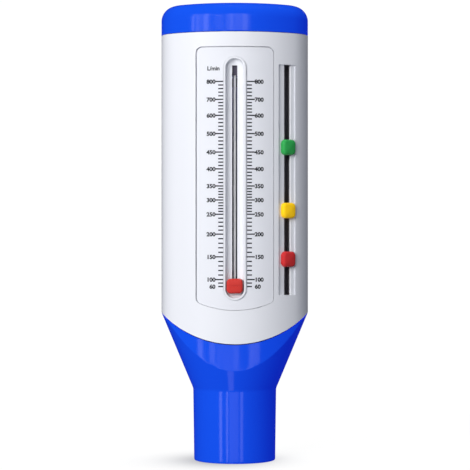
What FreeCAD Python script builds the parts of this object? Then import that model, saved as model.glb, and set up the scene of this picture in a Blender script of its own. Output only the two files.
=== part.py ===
# Peak flow meter: an oval hand-held case with a round mouthpiece, a spring-loaded piston that slides on a
# rod inside a slotted flow tube, a pointer that the piston pushes up the scale, and three zone markers.
#
# Frame: the origin is the centre of the mouthpiece's open end, +Z runs up the case and -Y faces the reader.
# Sizes are in millimetres.

import FreeCAD, Part
import math
import os
import re
import Sketcher

SIZES = {
    # Case: one oval moulding, closed by the cap above and the funnel below.
    "case_width": 53.5,
    "end_radius": 13.6,
    "case_wall": 1.8,
    "cap_height": 10.8,
    "cap_rounding": 5.5,
    "cap_plate": 2.0,
    "skirt_wall": 1.5,
    "cap_skirt": 5.2,
    "fit_gap": 0.05,
    "skirt_gap": 0.1,
    # Funnel: a round mouthpiece that opens into the oval, joined to the case along an arched seam.
    "mouth_tip_radius": 14.8,
    "mouth_taper": 0.35,
    "mouth_wall": 1.5,
    "mouth_length": 26.2,
    "mouth_lip": 0.5,
    "seat_rise": 1.8,
    "seat_height": 3.0,
    "seat_ledge": 0.8,
    "root_rounding": 3.0,
    "cone_lip": 0.05,
    "funnel_height": 16.9,
    "seam_radius": 38.4,
    "spigot_height": 3.4,
    # Flow tube, in which the piston runs, its seal and its slot.
    "tube_wall": 1.3,
    "tube_gap": 0.1,
    "tube_space": 0.4,
    "tube_slot_width": 4.2,
    "seal_thickness": 1.0,
    # Rod and the two spoked supports that hold it.
    "rod_radius": 1.5,
    "rod_tail": 0.1,
    "clip_thickness": 0.5,
    "clip_radius": 3.0,
    "clip_groove_depth": 0.4,
    "flange_thickness": 1.2,
    "flange_width": 2.1,
    "spoke_reach": 2.8,
    "spoke_width": 1.4,
    "spoke_count": 4,
    "hub_radius": 3.4,
    "hub_height": 6.0,
    "stop_radius": 2.3,
    # Piston, its bush on the rod, the buffers and the spring.
    "piston_gap": 0.3,
    "piston_plate": 1.2,
    "piston_rim": 3.4,
    "piston_rim_wall": 0.8,
    "piston_hub_radius": 3.3,
    "piston_hub_length": 9.0,
    "piston_rib_width": 0.8,
    "piston_rib_height": 2.4,
    "piston_rib_count": 6,
    "bush_bore_gap": 0.05,
    "bush_radius": 2.3,
    "bush_length": 12.2,
    "bush_stand": 1.0,
    "rest_gap": 0.1,
    "buffer_thickness": 0.8,
    "top_buffer_thickness": 3.0,
    "bridge_hub_length": 11.05,
    "spring_wire_radius": 0.25,
    "spring_inner_gap": 0.3,
    "spring_turns": 7,
    # Pointer: a knob in the groove, and a carriage behind the slot on a fine wire.
    "pointer_rise": 20.8,
    "pointer_travel": 73.4,
    "knob_width": 5.8,
    "knob_height": 5.3,
    "knob_stand": 1.3,
    "knob_rounding": 1.4,
    "knob_edge": 0.7,
    "knob_line_width": 0.45,
    "knob_line_depth": 0.4,
    "knob_gap": 0.25,
    "peg_width": 1.6,
    "peg_height": 3.2,
    "peg_length": 1.6,
    "neck_gap": 0.12,
    "carriage_width": 3.4,
    "carriage_height": 4.0,
    "finger_width": 1.8,
    "finger_reach": 1.9,
    "finger_lift": 0.25,
    "wire_radius": 0.55,
    "wire_bore_gap": 0.06,
    "wire_inset": 0.5,
    "carriage_wall": 0.6,
    "wire_foot_gap": 0.5,
    "wire_foot_height": 3.0,
    "wire_buffer_height": 6.0,
    "wire_seat": 1.6,
    # Groove and slot for the pointer, with a raised oval rim round them.
    "groove_half_width": 3.35,
    "groove_depth": 2.2,
    "groove_start": 1.05,
    "groove_end": 4.5,
    "groove_wall": 1.5,
    "rim_half_width": 4.0,
    "rim_height": 0.2,
    "slot_width": 1.85,
    "slot_start": 2.4,
    "slot_end": 5.5,
    # Scale label in its shallow recess.
    "label_margin": 4.9,
    "label_foot": 8.8,
    "label_head": 12.2,
    "label_cap_gap": 5.2,
    "label_arc_radius": 34.0,
    "label_corner": 2.3,
    "label_recess": 0.45,
    "label_thickness": 0.25,
    "label_gap": 0.4,
    "label_rim_gap": 0.1,
    # Markers: three knobs in a slotted channel on the right of the front.
    "marker_margin": 7.85,
    "channel_width": 7.2,
    "channel_depth": 0.95,
    "channel_start": 3.4,
    "channel_end": 6.0,
    "marker_slot_width": 2.6,
    "marker_slot_shift": 0.65,
    "marker_shift": 0.35,
    "marker_width": 5.6,
    "marker_height": 5.6,
    "marker_thickness": 2.4,
    "marker_corner": 1.6,
    "marker_edge": 1.1,
    "marker_float": 0.1,
    "marker_neck_gap": 0.1,
    "marker_neck_height": 4.0,
    "marker_head_width": 3.2,
    "marker_head_thickness": 0.7,
    "marker_clip_width": 4.4,
    "marker_clip_height": 4.6,
    "marker_clip_thickness": 1.0,
    "track_width": 7.0,
    "track_wall": 0.9,
    "track_hollow": 2.9,
    "track_gap": 0.3,
    "green_rise": 49.7,
    "yellow_rise": 27.0,
    "red_rise": 9.5,
    # Cap: air vents in its top and the posts that press the rod's upper support down.
    "vent_width": 2.2,
    "vent_length": 14.8,
    "vent_pitch": 4.4,
    "vent_count": 7,
    "post_radius": 1.4,
    "post_circle": 13.3,
    "post_count": 4,
    # How far a cut runs past the surface that it cuts, and how far a joined form runs into its neighbour.
    "overcut": 1.0,
    "overlap": 0.2,
}

# How near an edge lies to a height or a face that it is picked by.
PICK_TOLERANCE = 0.001

# Sizes and places that follow from the driving ones.
PLACES = {
    "half_width": "case_width / 2",
    "mouth_bore_radius": "mouth_tip_radius - mouth_wall",
    "mouth_root_radius": "mouth_tip_radius + mouth_taper",
    "tube_radius": "mouth_bore_radius + seat_ledge",
    "tube_bore_radius": "tube_radius - tube_wall",
    "groove_back": "tube_radius + tube_space",
    "groove_floor": "groove_back + groove_wall",
    "half_depth": "groove_floor + groove_depth",
    "case_depth": "half_depth * 2",
    "end_centre": "half_width - end_radius",
    "wide_radius": "(end_centre ^ 2 + half_depth ^ 2 - end_radius ^ 2) / (2 * (half_depth - end_radius))",
    "skirt_inset": "case_wall + skirt_gap",
    "cavity_inset": "skirt_inset + skirt_wall",
    "mouth_bore_depth": "mouth_length + seat_rise",
    "seam_bottom": "mouth_length + funnel_height",
    "seam_centre": "seam_bottom + seam_radius",
    "cone_top": "seam_centre - sqrt(seam_radius ^ 2 - half_width ^ 2) - cone_lip",
    "spigot_top": "cone_top + spigot_height",
    "cone_slope": "(half_width - mouth_root_radius) / (cone_top - mouth_length)",
    "cone_inside": "half_width - cone_slope * cone_top - case_wall * sqrt(1 + cone_slope ^ 2)",
    "pointer_rest": "seam_bottom + pointer_rise",
    "pointer_limit": "pointer_rest + pointer_travel",
    "groove_low": "pointer_rest - groove_start",
    "groove_high": "pointer_limit + groove_end",
    "slot_low": "pointer_rest - slot_start",
    "slot_high": "pointer_limit + slot_end",
    "label_bottom": "pointer_rest - label_foot",
    "label_top": "pointer_limit + label_head",
    "channel_low": "pointer_rest - channel_start",
    "channel_high": "pointer_limit + channel_end",
    "cap_seam": "label_top + label_cap_gap",
    "overall_height": "cap_seam + cap_height",
    "seal_bottom": "mouth_bore_depth",
    "spider_bottom": "seal_bottom + seal_thickness",
    "tube_bottom": "spider_bottom + flange_thickness",
    "spoke_radius": "tube_bore_radius - tube_gap",
    "flange_bore_radius": "tube_radius - flange_width",
    "rod_bottom": "mouth_bore_depth + rod_tail",
    "clip_bottom": "spider_bottom - clip_thickness - rod_tail",
    "finger_bottom": "pointer_rest - carriage_height / 2",
    "piston_top": "finger_bottom - finger_lift",
    "piston_radius": "tube_bore_radius - piston_gap",
    "bush_top": "piston_top + bush_stand",
    "bush_bottom": "bush_top - bush_length",
    "piston_hub_bottom": "bush_top - piston_hub_length",
    "rest_buffer_top": "bush_bottom - rest_gap",
    "stop_top": "rest_buffer_top - buffer_thickness",
    "spider_hub_top": "spider_bottom + hub_height",
    "top_buffer_bottom": "bush_top + pointer_travel + rest_gap",
    "bridge_hub_bottom": "top_buffer_bottom + top_buffer_thickness",
    "tube_top": "bridge_hub_bottom + bridge_hub_length",
    "bridge_top": "tube_top + flange_thickness",
    "rod_top": "tube_top",
    "spring_inner_radius": "stop_radius + spring_inner_gap",
    "spring_mean_radius": "spring_inner_radius + spring_wire_radius",
    "spring_bottom": "spider_hub_top + spring_wire_radius + fit_gap",
    "spring_top": "piston_hub_bottom - spring_wire_radius - fit_gap",
    "groove_radius": "(groove_half_width ^ 2 + groove_depth ^ 2) / (2 * groove_depth)",
    "groove_axis": "groove_floor + groove_radius",
    "knob_front": "half_depth + knob_stand",
    "carriage_front": "groove_back - neck_gap",
    "wire_depth": "tube_radius - wire_inset",
    "carriage_back": "wire_depth - wire_radius - wire_bore_gap - carriage_wall",
    "finger_tip": "piston_radius - finger_reach",
    "carriage_top_limit": "pointer_limit + carriage_height / 2",
    "wire_buffer_bottom": "carriage_top_limit + rest_gap",
    "wire_buffer_top": "wire_buffer_bottom + wire_buffer_height",
    "wire_foot_top": "finger_bottom - wire_foot_gap",
    "wire_foot_bottom": "wire_foot_top - wire_foot_height",
    "wire_bottom": "wire_foot_top - wire_seat",
    "wire_top": "wire_buffer_bottom + wire_seat",
    "marker_offset": "half_width - marker_margin",
    "label_half_width": "marker_offset - label_margin",
    "green_height": "pointer_rest + green_rise",
    "yellow_height": "pointer_rest + yellow_rise",
    "red_height": "pointer_rest + red_rise",
    "marker_turn": "asin(marker_offset / wide_radius)",
    "marker_front": "half_depth - wide_radius * (1 - cos(marker_turn))",
    "track_front": "case_wall + track_gap",
    "cap_ceiling": "overall_height - cap_plate",
}

SHEET_NAME = "Sizes"

doc = FreeCAD.newDocument("PeakFlowMeter")
sheet = doc.addObject("Spreadsheet::Sheet", SHEET_NAME)
for row, (alias, value) in enumerate(SIZES.items(), start=1):
    sheet.set(f"A{row}", alias)
    sheet.set(f"B{row}", str(value))
    sheet.setAlias(f"B{row}", alias)
doc.recompute()

Z_AXIS = FreeCAD.Vector(0, 0, 1)


def formula(text):
    """The expression with every size and place spelled out in cells of the sheet."""
    def spell(match):
        word = match.group(0)
        if word in SIZES:
            return f"{SHEET_NAME}.{word}"
        if word in PLACES:
            return "(" + formula(PLACES[word]) + ")"
        return word
    return re.sub(r"[a-z_]+", spell, str(text))


def number(text):
    """The value of an expression now."""
    return float(sheet.evalExpression(formula(text)))


def bind(thing, **properties):
    """Ties properties to expressions. Two underscores in a name stand for a dot."""
    for name, text in properties.items():
        thing.setExpression(name.replace("__", "."), formula(text))
    return thing


def place(thing, x="0", y="0", z="0"):
    """Ties an object's position to expressions."""
    return bind(thing, Placement__Base__x=x, Placement__Base__y=y, Placement__Base__z=z)


def finish_part(thing, label):
    """Gives a finished sub-part its name."""
    thing.Label = label
    return thing


# Sketches

def measure(sketch, kind, first, second, text, flip=False):
    """Adds a distance from the sketch's origin to a point, bound to an expression."""
    sign = "-" if flip else ""
    length = f"{sign}({text})"
    index = sketch.addConstraint(Sketcher.Constraint(kind, -1, 1, first, second, number(length)))
    sketch.setExpression(f"Constraints[{index}]", formula(length))


def polygon(sketch, corners):
    """A closed outline of straight lines, each corner measured from the origin."""
    points = [FreeCAD.Vector(number(x), number(y), 0) for x, y in corners]
    first = sketch.GeometryCount
    count = len(points)
    for i in range(count):
        sketch.addGeometry(Part.LineSegment(points[i], points[(i + 1) % count]), False)
    for i in range(count):
        sketch.addConstraint(Sketcher.Constraint("Coincident", first + i, 2, first + (i + 1) % count, 1))
    for i, (x, y) in enumerate(corners):
        measure(sketch, "DistanceX", first + i, 1, x)
        measure(sketch, "DistanceY", first + i, 1, y)


def rectangle(sketch, x_low, x_high, y_low, y_high):
    polygon(sketch, [(x_low, y_low), (x_high, y_low), (x_high, y_high), (x_low, y_high)])


def circle(sketch, radius, x="0", y="0"):
    centre = FreeCAD.Vector(number(x), number(y), 0)
    index = sketch.addGeometry(Part.Circle(centre, Z_AXIS, number(radius)), False)
    size = sketch.addConstraint(Sketcher.Constraint("Radius", index, number(radius)))
    sketch.setExpression(f"Constraints[{size}]", formula(radius))
    measure(sketch, "DistanceX", index, 3, x)
    measure(sketch, "DistanceY", index, 3, y)


def oval(sketch, inset="0"):
    """The case's outline, or one inside it: two wide arcs, front and back, that run into two end arcs."""
    end_x, wide_y = "end_centre", "wide_radius - half_depth"
    reach, drop = number(end_x), number(wide_y)
    end, wide = number(f"end_radius - ({inset})"), number(f"wide_radius - ({inset})")
    meet = math.atan2(drop, reach)
    arcs = (
        (reach, 0, end, -meet, meet),
        (0, -drop, wide, meet, math.pi - meet),
        (-reach, 0, end, math.pi - meet, math.pi + meet),
        (0, drop, wide, math.pi + meet, 2 * math.pi - meet),
    )
    first = sketch.GeometryCount
    for x, y, radius, start, stop in arcs:
        ring = Part.Circle(FreeCAD.Vector(x, y, 0), Z_AXIS, radius)
        sketch.addGeometry(Part.ArcOfCircle(ring, start, stop), False)
    for i in range(4):
        sketch.addConstraint(Sketcher.Constraint("Tangent", first + i, 2, first + (i + 1) % 4, 1))
    right, back, left, front = range(first, first + 4)
    for arc, x, y in ((right, end_x, "0"), (back, "0", f"-({wide_y})"), (left, f"-({end_x})", "0")):
        measure(sketch, "DistanceX", arc, 3, x)
        measure(sketch, "DistanceY", arc, 3, y)
    measure(sketch, "DistanceY", front, 3, wide_y)
    size = sketch.addConstraint(Sketcher.Constraint("Radius", right, end))
    sketch.setExpression(f"Constraints[{size}]", formula(f"end_radius - ({inset})"))


def stadium(sketch, half_width, low, high):
    """A slot outline with round ends, whose end centres are at the heights low and high."""
    w, z0, z1 = number(half_width), number(low), number(high)
    first = sketch.GeometryCount
    for centre, start in ((z1, 0), (z0, math.pi)):
        ring = Part.Circle(FreeCAD.Vector(0, centre, 0), Z_AXIS, w)
        sketch.addGeometry(Part.ArcOfCircle(ring, start, start + math.pi), False)
    for side in (-1, 1):
        ends = [FreeCAD.Vector(side * w, z, 0) for z in ((z1, z0) if side < 0 else (z0, z1))]
        sketch.addGeometry(Part.LineSegment(*ends), False)
    top, bottom, left, right = first, first + 1, first + 2, first + 3
    for a, b in ((top, left), (left, bottom), (bottom, right), (right, top)):
        sketch.addConstraint(Sketcher.Constraint("Tangent", a, 2, b, 1))
    for arc, height in ((top, high), (bottom, low)):
        measure(sketch, "DistanceX", arc, 3, "0")
        measure(sketch, "DistanceY", arc, 3, height)
    size = sketch.addConstraint(Sketcher.Constraint("Radius", top, w))
    sketch.setExpression(f"Constraints[{size}]", formula(half_width))


# Bodies

def new_body(name):
    return doc.addObject("PartDesign::Body", name)


def sketch_on(body, name, plane="XY_Plane", offset="0"):
    """A sketch on one of the body's own origin planes, moved along its normal by offset."""
    sketch = body.newObject("Sketcher::SketchObject", name)
    support = [f for f in body.Origin.OriginFeatures if f.Role == plane][0]
    sketch.AttachmentSupport = [(support, "")]
    sketch.MapMode = "FlatFace"
    bind(sketch, AttachmentOffset__Base__z=offset)
    return sketch


def feature(body, kind, name, sketch, length=None, backwards=False):
    """A pad or pocket of the sketch. A pocket with no length goes through everything, both ways."""
    made = body.newObject(f"PartDesign::{kind}", name)
    made.Profile = sketch
    made.Reversed = backwards
    if length is None:
        made.Type = "ThroughAll"
        made.Midplane = True
    else:
        bind(made, Length=length)
    doc.recompute()
    return made


def revolve(body, name, sketch, kind="Revolution"):
    """Turns the sketch about its own vertical axis."""
    made = body.newObject(f"PartDesign::{kind}", name)
    made.Profile = sketch
    made.ReferenceAxis = (sketch, ["V_Axis"])
    made.Angle = 360
    doc.recompute()
    return made


def polar(body, name, made, sketch, count):
    """Repeats a feature round the sketch's normal."""
    pattern = body.newObject("PartDesign::PolarPattern", name)
    pattern.Originals = [made]
    pattern.Axis = (sketch, ["N_Axis"])
    pattern.Angle = 360
    bind(pattern, Occurrences=count)
    body.Tip = pattern
    doc.recompute()
    return pattern


def edge_names(body, name, test):
    """The edges of the body's present shape that pass the test."""
    edges = [f"Edge{i}" for i, edge in enumerate(body.Tip.Shape.Edges, start=1) if test(edge)]
    if not edges:
        raise RuntimeError(f"{name}: no edge to shape")
    return (body.Tip, edges)


def round_edges(body, name, radius, test):
    """Fillets the edges that pass the test."""
    base = edge_names(body, name, test)
    made = body.newObject("PartDesign::Fillet", name)
    made.Base = base
    bind(made, Radius=radius)
    doc.recompute()
    return made


def bevel_edges(body, name, size, test):
    """Chamfers the edges that pass the test."""
    base = edge_names(body, name, test)
    made = body.newObject("PartDesign::Chamfer", name)
    made.Base = base
    bind(made, Size=size)
    doc.recompute()
    return made


def level(z):
    """A test for edges that lie flat at the height z."""
    height = number(z)

    def test(edge):
        box = edge.BoundBox
        return max(abs(box.ZMin - height), abs(box.ZMax - height)) < PICK_TOLERANCE
    return test


def turned_part(name, profile):
    """A body of revolution from a closed outline of radius and height pairs."""
    body = new_body(name)
    sketch = sketch_on(body, f"{name}_profile", "XZ_Plane")
    polygon(sketch, profile)
    revolve(body, f"{name}_turn", sketch)
    return body


# Primitives and booleans

def oval_post(name, inset, low, high):
    """An upright oval solid between two heights, its outline inside the case's by inset."""
    outline = doc.addObject("Sketcher::SketchObject", f"{name}_outline")
    oval(outline, inset)
    bind(outline, Placement__Base__z=low)
    post = doc.addObject("Part::Extrusion", name)
    post.Base = outline
    post.DirMode = "Custom"
    post.Dir = Z_AXIS
    post.Solid = True
    return bind(post, LengthFwd=f"({high}) - ({low})")


def block(name, x_low, x_high, y_low, y_high, z_low, z_high):
    made = doc.addObject("Part::Box", name)
    bind(made, Length=f"({x_high}) - ({x_low})", Width=f"({y_high}) - ({y_low})")
    bind(made, Height=f"({z_high}) - ({z_low})")
    return place(made, x_low, y_low, z_low)


def capsule(name, radius, y, low, high):
    """An upright round bar with ball ends, whose end centres are at the heights low and high."""
    bar = doc.addObject("Part::Cylinder", f"{name}_bar")
    bind(bar, Radius=radius, Height=f"({high}) - ({low})")
    place(bar, y=y, z=low)
    parts = [bar]
    for end, z in (("low", low), ("high", high)):
        ball = doc.addObject("Part::Sphere", f"{name}_{end}_ball")
        bind(ball, Radius=radius)
        parts.append(place(ball, y=y, z=z))
    return fuse(name, *parts)


def prism_y(name, draw, y_low, y_high):
    """A solid along Y from an outline drawn in X and Z by the function draw."""
    sketch = doc.addObject("Sketcher::SketchObject", f"{name}_outline")
    sketch.Placement = FreeCAD.Placement(FreeCAD.Vector(), FreeCAD.Rotation(FreeCAD.Vector(1, 0, 0), 90))
    bind(sketch, Placement__Base__y=y_low)
    draw(sketch)
    made = doc.addObject("Part::Extrusion", name)
    made.Base = sketch
    made.DirMode = "Custom"
    made.Dir = FreeCAD.Vector(0, 1, 0)
    made.Solid = True
    return bind(made, LengthFwd=f"({y_high}) - ({y_low})")


def fuse(name, *shapes):
    made = doc.addObject("Part::MultiFuse", name)
    made.Shapes = list(shapes)
    return made


def common(name, *shapes):
    made = doc.addObject("Part::MultiCommon", name)
    made.Shapes = list(shapes)
    return made


def cut(name, base, tool):
    made = doc.addObject("Part::Cut", name)
    made.Base = base
    made.Tool = tool
    return made


def on_marker_line(thing, x="0", y="0", z="0"):
    """Puts an object at x along the wall and y into it, where the marker channel's centre meets the case."""
    bind(thing, Placement__Rotation__Angle="marker_turn")
    return place(
        thing,
        f"marker_offset + ({x}) * cos(marker_turn) - ({y}) * sin(marker_turn)",
        f"-marker_front + ({x}) * sin(marker_turn) + ({y}) * cos(marker_turn)",
        z,
    )


# Case

def seam_cylinder(name, radius):
    """The round bar along Y whose underside is the arched seam between case and funnel."""
    bar = doc.addObject("Part::Cylinder", name)
    bind(bar, Radius=radius, Height="case_depth * 2")
    bar.Placement = FreeCAD.Placement(FreeCAD.Vector(), FreeCAD.Rotation(FreeCAD.Vector(1, 0, 0), -90))
    return place(bar, y="-case_depth", z="seam_centre")


def label_outline(inset):
    """The label's outline: straight sides and top, and a foot that bows down as a shallow arc."""
    def draw(sketch):
        half = f"(label_half_width - {inset})"
        radius = f"(label_arc_radius - {inset})"
        centre = "(label_bottom + label_arc_radius)"
        corner = f"({centre} - sqrt({radius} ^ 2 - {half} ^ 2))"
        top = f"(label_top - {inset})"
        x, low, high = number(half), number(corner), number(top)
        foot = FreeCAD.Vector(0, number(f"{centre} - {radius}"), 0)
        corners = [FreeCAD.Vector(*point, 0) for point in ((x, low), (x, high), (-x, high), (-x, low))]
        sketch.addGeometry(Part.Arc(corners[-1], foot, corners[0]), False)
        for start, end in zip(corners, corners[1:]):
            sketch.addGeometry(Part.LineSegment(start, end), False)
        for a, a_end, b, b_end in ((0, 2, 1, 1), (1, 2, 2, 1), (2, 2, 3, 1), (3, 2, 0, 1)):
            sketch.addConstraint(Sketcher.Constraint("Coincident", a, a_end, b, b_end))
        measure(sketch, "DistanceX", 0, 3, "0")
        measure(sketch, "DistanceY", 0, 3, centre)
        measure(sketch, "DistanceX", 2, 1, half)
        measure(sketch, "DistanceY", 2, 1, top)
        measure(sketch, "DistanceX", 3, 1, f"-{half}")
        sketch.addConstraint(Sketcher.Constraint("Horizontal", 2))
        sketch.addConstraint(Sketcher.Constraint("Vertical", 1))
        sketch.addConstraint(Sketcher.Constraint("Vertical", 3))
        size = sketch.addConstraint(Sketcher.Constraint("Radius", 0, number(radius)))
        sketch.setExpression(f"Constraints[{size}]", formula(radius))
    return draw


def label_block(name, inset):
    """The label's outline carried through the front wall, with its corners rounded."""
    raw = prism_y(f"{name}_raw", label_outline(inset), "-half_depth - overcut", "-half_depth / 2")
    doc.recompute()
    made = doc.addObject("Part::Fillet", name)
    made.Base = raw
    radius = number(f"label_corner - {inset}")
    made.Edges = [
        (i, radius, radius) for i, edge in enumerate(raw.Shape.Edges, start=1)
        if edge.BoundBox.YLength > number("half_depth / 4")
    ]
    return made


def barrel():
    """The white oval moulding, with the groove, slot, rim, label recess and marker channel in its front."""
    low, high = "seam_bottom", "cap_seam"
    outside = oval_post("case_outside", "0", low, high)
    inside = oval_post("case_inside", "case_wall", "seam_bottom - overcut", "cap_seam + overcut")
    recess_floor = oval_post("recess_floor", "label_recess", "seam_bottom - overcut", "cap_seam + overcut")
    wall = cut("case_wall_ring", outside, inside)
    recess = cut("label_recess_cut", label_block("label_pocket", "0"), recess_floor)
    dished_wall = cut("recessed_wall", wall, recess)
    trough = common(
        "groove_trough",
        capsule("trough_bar", "groove_radius + groove_wall", "-groove_axis", "groove_low", "groove_high"),
        oval_post("trough_limit", "label_recess", low, high),
    )
    rim = prism_y(
        "groove_rim", lambda sketch: stadium(sketch, "rim_half_width", "groove_low", "groove_high"),
        "-half_depth - rim_height", "-half_depth + label_recess + overlap * 2",
    )
    solid = fuse("case_solid", dished_wall, trough, rim)
    groove = capsule("groove", "groove_radius", "-groove_axis", "groove_low", "groove_high")
    slot = block(
        "pointer_slot", "-slot_width / 2", "slot_width / 2", "-half_depth", "-groove_back + overcut",
        "slot_low", "slot_high",
    )
    channel = block(
        "marker_channel", "0", "channel_width", "0", "channel_depth + overcut", "channel_low", "channel_high"
    )
    on_marker_line(channel, "-channel_width / 2", "-overcut", "channel_low")
    marker_slot = block(
        "marker_slot", "0", "marker_slot_width", "0", "case_wall + overcut * 2", "channel_low", "channel_high"
    )
    on_marker_line(marker_slot, "marker_slot_shift - marker_slot_width / 2", "-overcut", "channel_low")
    foot_block = block(
        "foot_block", "-case_width", "case_width", "-case_depth", "case_depth",
        "seam_bottom - overcut", "seam_centre",
    )
    foot = cut("arched_foot", foot_block, seam_cylinder("foot_arch", "seam_radius - fit_gap"))
    openings = fuse("case_openings", groove, slot, channel, marker_slot, foot)
    return finish_part(cut("case_moulding", solid, openings), "barrel")


def scale_label():
    """The thin printed plate in the recess, with an oval opening round the groove's rim."""
    skin = cut(
        "label_skin",
        oval_post("label_front", "label_recess - label_thickness", "seam_bottom", "cap_seam"),
        oval_post("label_back", "label_recess", "seam_bottom - overcut", "cap_seam + overcut"),
    )
    plate = common("label_plate", skin, label_block("label_sheet", "label_gap"))
    opening = prism_y(
        "label_opening",
        lambda sketch: stadium(sketch, "rim_half_width + label_rim_gap", "groove_low", "groove_high"),
        "-half_depth - overcut", "0",
    )
    return finish_part(cut("label", plate, opening), "scale_label")


def top_cap():
    """The blue cap: a rounded oval lid with vents, a skirt inside the case and posts onto the rod support."""
    body = new_body("cap")
    lid = sketch_on(body, "cap_lid", offset="cap_seam")
    oval(lid)
    feature(body, "Pad", "cap_lid_pad", lid, "overall_height - cap_seam")
    round_edges(body, "cap_top_rounding", "cap_rounding", level("overall_height"))
    skirt = sketch_on(body, "cap_skirt_outline", offset="cap_seam")
    oval(skirt, "skirt_inset")
    feature(body, "Pad", "cap_skirt_pad", skirt, "cap_skirt", backwards=True)
    hollow = sketch_on(body, "cap_hollow", offset="cap_ceiling")
    oval(hollow, "cavity_inset")
    feature(body, "Pocket", "cap_hollow_pocket", hollow, "cap_ceiling - cap_seam + cap_skirt")
    post = sketch_on(body, "cap_post", offset="cap_ceiling")
    half_turn = "180 / post_count"
    circle(post, "post_radius", f"post_circle * cos({half_turn})", f"post_circle * sin({half_turn})")
    pad = feature(body, "Pad", "cap_post_pad", post, "cap_ceiling - bridge_top - fit_gap", backwards=True)
    polar(body, "cap_posts", pad, post, "post_count")
    vent = sketch_on(body, "cap_vent", offset="overall_height")
    rectangle(vent, "-vent_width / 2", "vent_width / 2", "-vent_length / 2", "vent_length / 2")
    bind(vent, AttachmentOffset__Base__x="-vent_pitch * (vent_count - 1) / 2")
    slit = feature(body, "Pocket", "cap_vent_pocket", vent, "cap_plate")
    vents = body.newObject("PartDesign::LinearPattern", "cap_vents")
    vents.Originals = [slit]
    vents.Direction = (vent, ["H_Axis"])
    bind(vents, Length="vent_pitch * (vent_count - 1)", Occurrences="vent_count")
    body.Tip = vents
    return finish_part(body, "top_cap")


def mouthpiece_funnel():
    """The blue funnel: a round mouthpiece, a cone that flattens into the oval, and a spigot in the case."""
    form = new_body("funnel_form")
    sketch = sketch_on(form, "funnel_outline", "XZ_Plane")
    polygon(sketch, [
        ("0", "0"), ("mouth_tip_radius", "0"), ("mouth_root_radius", "mouth_length"),
        ("half_width", "cone_top"), ("half_width", "spigot_top"), ("0", "spigot_top"),
    ])
    revolve(form, "funnel_turn", sketch)
    bevel_edges(form, "funnel_lip", "mouth_lip", level("0"))
    round_edges(form, "funnel_root", "root_rounding", level("mouth_length"))
    oval_form = common(
        "funnel_oval", form, oval_post("funnel_limit", "0", "-overcut", "spigot_top + overcut")
    )
    spigot = oval_post("spigot_post", "skirt_inset", "0", "spigot_top + overcut")
    above_seam = cut("above_seam", seam_cylinder("seam_arch", "seam_radius"), spigot)
    stepped = cut("funnel_stepped", oval_form, above_seam)
    hollow = new_body("funnel_hollow")
    sketch = sketch_on(hollow, "funnel_hollow_outline", "XZ_Plane")
    seat_top, end = "(mouth_bore_depth + seat_height)", "(spigot_top + overcut)"
    polygon(sketch, [
        ("0", "-overcut"), ("mouth_bore_radius", "-overcut"), ("mouth_bore_radius", "mouth_bore_depth"),
        ("tube_radius + tube_gap", "mouth_bore_depth"), ("tube_radius + tube_gap", seat_top),
        (f"cone_inside + cone_slope * {seat_top}", seat_top), (f"cone_inside + cone_slope * {end}", end),
        ("0", end),
    ])
    revolve(hollow, "funnel_hollow_turn", sketch)
    limit = oval_post("funnel_cavity_limit", "cavity_inset", "-overcut * 2", "spigot_top + overcut * 2")
    cavity = common("funnel_cavity", hollow, limit)
    return finish_part(cut("funnel", stepped, cavity), "mouthpiece_funnel")


# Flow tube, rod and its supports

def flow_tube():
    """The round tube round the piston, slotted along its front for the pointer and the escaping air."""
    body = new_body("tube")
    ring = sketch_on(body, "tube_section", offset="tube_bottom")
    circle(ring, "tube_radius")
    circle(ring, "tube_bore_radius")
    feature(body, "Pad", "tube_pad", ring, "tube_top - tube_bottom")
    opening = sketch_on(body, "tube_slot_outline", "XZ_Plane")
    rectangle(opening, "-tube_slot_width / 2", "tube_slot_width / 2", "wire_foot_bottom", "wire_buffer_top")
    feature(body, "Pocket", "tube_slot", opening, "tube_radius + overcut", backwards=True)
    return finish_part(body, "flow_tube")


def seal_ring():
    """The flat rubber ring under the lower support."""
    inner, outer = "flange_bore_radius", "tube_radius"
    top = "seal_bottom + seal_thickness"
    body = turned_part("seal", [(inner, "seal_bottom"), (outer, "seal_bottom"), (outer, top), (inner, top)])
    return finish_part(body, "seal_ring")


def spokes(body, name, low, high):
    """Arms from the hub across the flange into the tube's bore, between two heights."""
    arm = sketch_on(body, f"{name}_spoke", offset=low)
    rectangle(arm, "(rod_radius + hub_radius) / 2", "spoke_radius", "-spoke_width / 2", "spoke_width / 2")
    pad = feature(body, "Pad", f"{name}_spoke_pad", arm, f"({high}) - ({low})")
    return polar(body, f"{name}_spokes", pad, arm, "spoke_count")


def rod_spider():
    """The lower rod support: a flange under the tube, spokes up into it, a hub and the piston's stop."""
    body = new_body("spider")
    sketch = sketch_on(body, "spider_ring", "XZ_Plane")
    polygon(sketch, [
        ("flange_bore_radius", "spider_bottom"), ("tube_radius", "spider_bottom"),
        ("tube_radius", "tube_bottom"), ("flange_bore_radius", "tube_bottom"),
    ])
    revolve(body, "spider_ring_turn", sketch)
    spokes(body, "spider", "spider_bottom", "tube_bottom + spoke_reach")
    hub = sketch_on(body, "spider_hub", "XZ_Plane")
    polygon(hub, [
        ("rod_radius", "spider_bottom"), ("hub_radius", "spider_bottom"), ("hub_radius", "spider_hub_top"),
        ("stop_radius", "spider_hub_top"), ("stop_radius", "stop_top"), ("rod_radius", "stop_top"),
    ])
    revolve(body, "spider_hub_turn", hub)
    clear_rod_hole(body, "spider", "spider_bottom", "stop_top")
    return finish_part(body, "rod_spider")


def clear_rod_hole(body, name, low, high):
    """Clears the rod's hole of the spokes' roots."""
    hole = sketch_on(body, f"{name}_rod_hole", offset=low)
    circle(hole, "rod_radius")
    feature(body, "Pocket", f"{name}_rod_bore", hole, f"({high}) - ({low})", backwards=True)


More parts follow.
